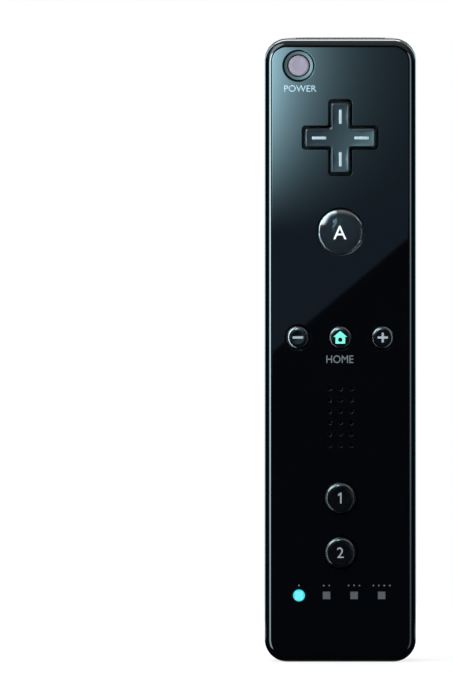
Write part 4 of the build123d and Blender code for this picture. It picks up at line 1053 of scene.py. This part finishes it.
def lamp(name, place, target, width, height, watts, colour):
    """A soft rectangular lamp that looks from its place at a target, in millimetres."""
    data = bpy.data.lights.new(name, "AREA")
    data.shape, data.size, data.size_y = "RECTANGLE", width * MM, height * MM
    data.energy, data.color = watts, colour
    made = linked(name, data)
    made.location = Vector(place) * MM
    made.rotation_euler = (Vector(target) - Vector(place)).to_track_quat("-Z", "Y").to_euler()


MIDDLE = (0, 5, 74)
lamp("key", (-420, -370, 520), MIDDLE, 560, 560, 6.5, (0.9, 0.96, 1.0))
lamp("front_fill", (520, -640, 260), MIDDLE, 300, 300, 2.4, (1.0, 0.99, 0.97))
lamp("back_soft", (-80, 500, 640), MIDDLE, 520, 400, 6.0, (0.82, 0.94, 1.0))

CARD_Y, VIEW_TILT = -70.0, np.radians(1.8)


def card(name, corners, finish):
    """A card that only reflections see."""
    plane = stage_plane(name, corners, finish)
    plane.visible_camera = plane.visible_shadow = plane.visible_diffuse = False
    plane.visible_transmission = False


def before_face(outline, depth):
    """Corners of a card at a depth before the face, from where its outline shows on the face."""
    return [(x, depth, z + np.tan(VIEW_TILT) * (depth - FACE)) for x, z in outline]


def upright(x_low, x_high, y_low, y_high, z_low, z_high):
    """Corners of an upright card between two points of the floor plan."""
    plan_points = [(x_low, y_low), (x_high, y_high)]
    return [(*p, z_low) for p in plan_points] + [(*p, z_high) for p in plan_points[::-1]]


def see_through(finish, held):
    """Lets a finish show only by a share, and be clear elsewhere."""
    finish.mixed(held, finish.node("ShaderNodeBsdfTransparent"), finish.body())


def card_finish(name, strength=0.0):
    """A card's finish: black without gloss, and its glow if it has one."""
    velvet = (0.002, 0.002, 0.003, 1)
    made = Finish(name, Base_Color=velvet, Roughness=1.0, Specular_IOR_Level=0.0)
    made.shader.inputs["Emission Strength"].default_value = strength
    return made


front_black = card_finish("front_black")
across, _, along = front_black.axes()
window = (0 - across).band(34.0, 80.0) * along.band(105.0, 150.0)
held = (1 - window) * across.band(-240.0, -160.0) * (1 - across.band(160.0, 250.0))
see_through(front_black, held * (1 - along.band(160.0, 215.0)))
dark = card_finish("black_card")
front_outline = [(-240, -190), (250, -190), (250, 220), (-240, 220)]
card("dark_front", before_face(front_outline, CARD_Y - 6), front_black)
for card_name, x in (("dark_left", -260), ("dark_right", 260)):
    card(card_name, upright(x, x, -115, 60, -60, 175), dark)
card("dark_back", upright(-120, 120, 300, 300, -60, 175), dark)
card("dark_floor", [(-260, -76, 0.4), (260, -76, 0.4), (260, 60, 0.4), (-260, 60, 0.4)], dark)
GLARE = 31.0
sky = card_finish("graded_card", GLARE)
sky_x, _, sky_z = sky.axes()
fade = sky.node("ShaderNodeMath", {"operation": "EXPONENT"}, {0: (sky_x + 18.0) * (-1 / 7.4)})
glare = fade * sky_z.band(99.0, 145.0)
share = glare.math("MINIMUM", glare, 1.0)
base = tuple(c / GLARE for c in (0.22, 0.36, 0.52))
sky.feed("Emission Color", sky.tint(share, base, (0.50, 0.86, 1.0)))
card("sky_card", before_face([(-26, 65.4), (24, 107.4), (24, 153), (-26, 153)], CARD_Y), sky)
LINE_IN, LINE_PEAK, LINE_OUT = 18.4, 20.0, 24.5
for side, strip_name, strength in ((-1, "left", 48.0), (1, "right", 9.0)):
    line = card_finish(strip_name + "_line", strength)
    line_x, _, line_z = line.axes()
    outwards = line_x * side
    up = 0.3 + line_z.band(-20.0, 140.0) * 0.7
    share = outwards.band(LINE_IN, LINE_PEAK) * (1 - outwards.band(LINE_PEAK, LINE_OUT)) * up
    line.feed("Emission Color", line.tint(share, (0, 0, 0), (0.7, 0.93, 1.0)))
    card(strip_name + "_line", upright(side * LINE_IN, side * LINE_OUT, -14, -14, -4, 147), line)
    card(strip_name + "_flag", upright(side * 18.3, side * 70, -8.5, -8.5, -4, 160), dark)
for side, sheet_name, strength in ((-1, "left", 9.0), (1, "right", 6.5)):
    sheet = card_finish(sheet_name + "_sheet", strength)
    _, sheet_y, sheet_z = sheet.axes()
    up = 0.35 + sheet_z.band(-60.0, 150.0) * 0.65
    share = sheet_y.band(140.0, 320.0) * (1 - sheet_y.band(380.0, 640.0)) * up
    sheet.feed("Emission Color", sheet.tint(share, (0, 0, 0), (0.42, 0.74, 0.9)))
    card(sheet_name + "_sheet", upright(side * 262, side * 262, 50, 640, -60, 430), sheet)

glint = card_finish("glint_card", 10.0)
glint.shader.inputs["Emission Color"].default_value = (0.72, 0.93, 1.0, 1)
corners = [(-560, -110, 260), (-150, -420, 260), (-110, -300, 680), (-520, 10, 680)]
card("glint_card", corners, glint)

PIXEL, FRAME_WIDTH, FRAME_HEIGHT = 0.2378, 453, 700
MIDDLE_COLUMN, TAIL_ROW = 340.3, 662
view_x = (FRAME_WIDTH / 2 - MIDDLE_COLUMN) * PIXEL
view_z = (TAIL_ROW - FRAME_HEIGHT / 2) * PIXEL
shot = bpy.data.cameras.new("shot")
shot.type, shot.ortho_scale = "ORTHO", FRAME_HEIGHT * PIXEL * MM
shot.clip_start, shot.clip_end = 0.01, 10.0
camera = linked("shot", shot)
away = Vector((0, -np.cos(VIEW_TILT), np.sin(VIEW_TILT)))
camera.location = Vector((view_x * MM, FACE * MM, view_z * MM)) + away * 1.0
camera.rotation_mode = "QUATERNION"
camera.rotation_quaternion = (-away).to_track_quat("-Z", "Y")
bpy.context.scene.camera = camera
bpy.context.scene.view_settings.view_transform = "Standard"
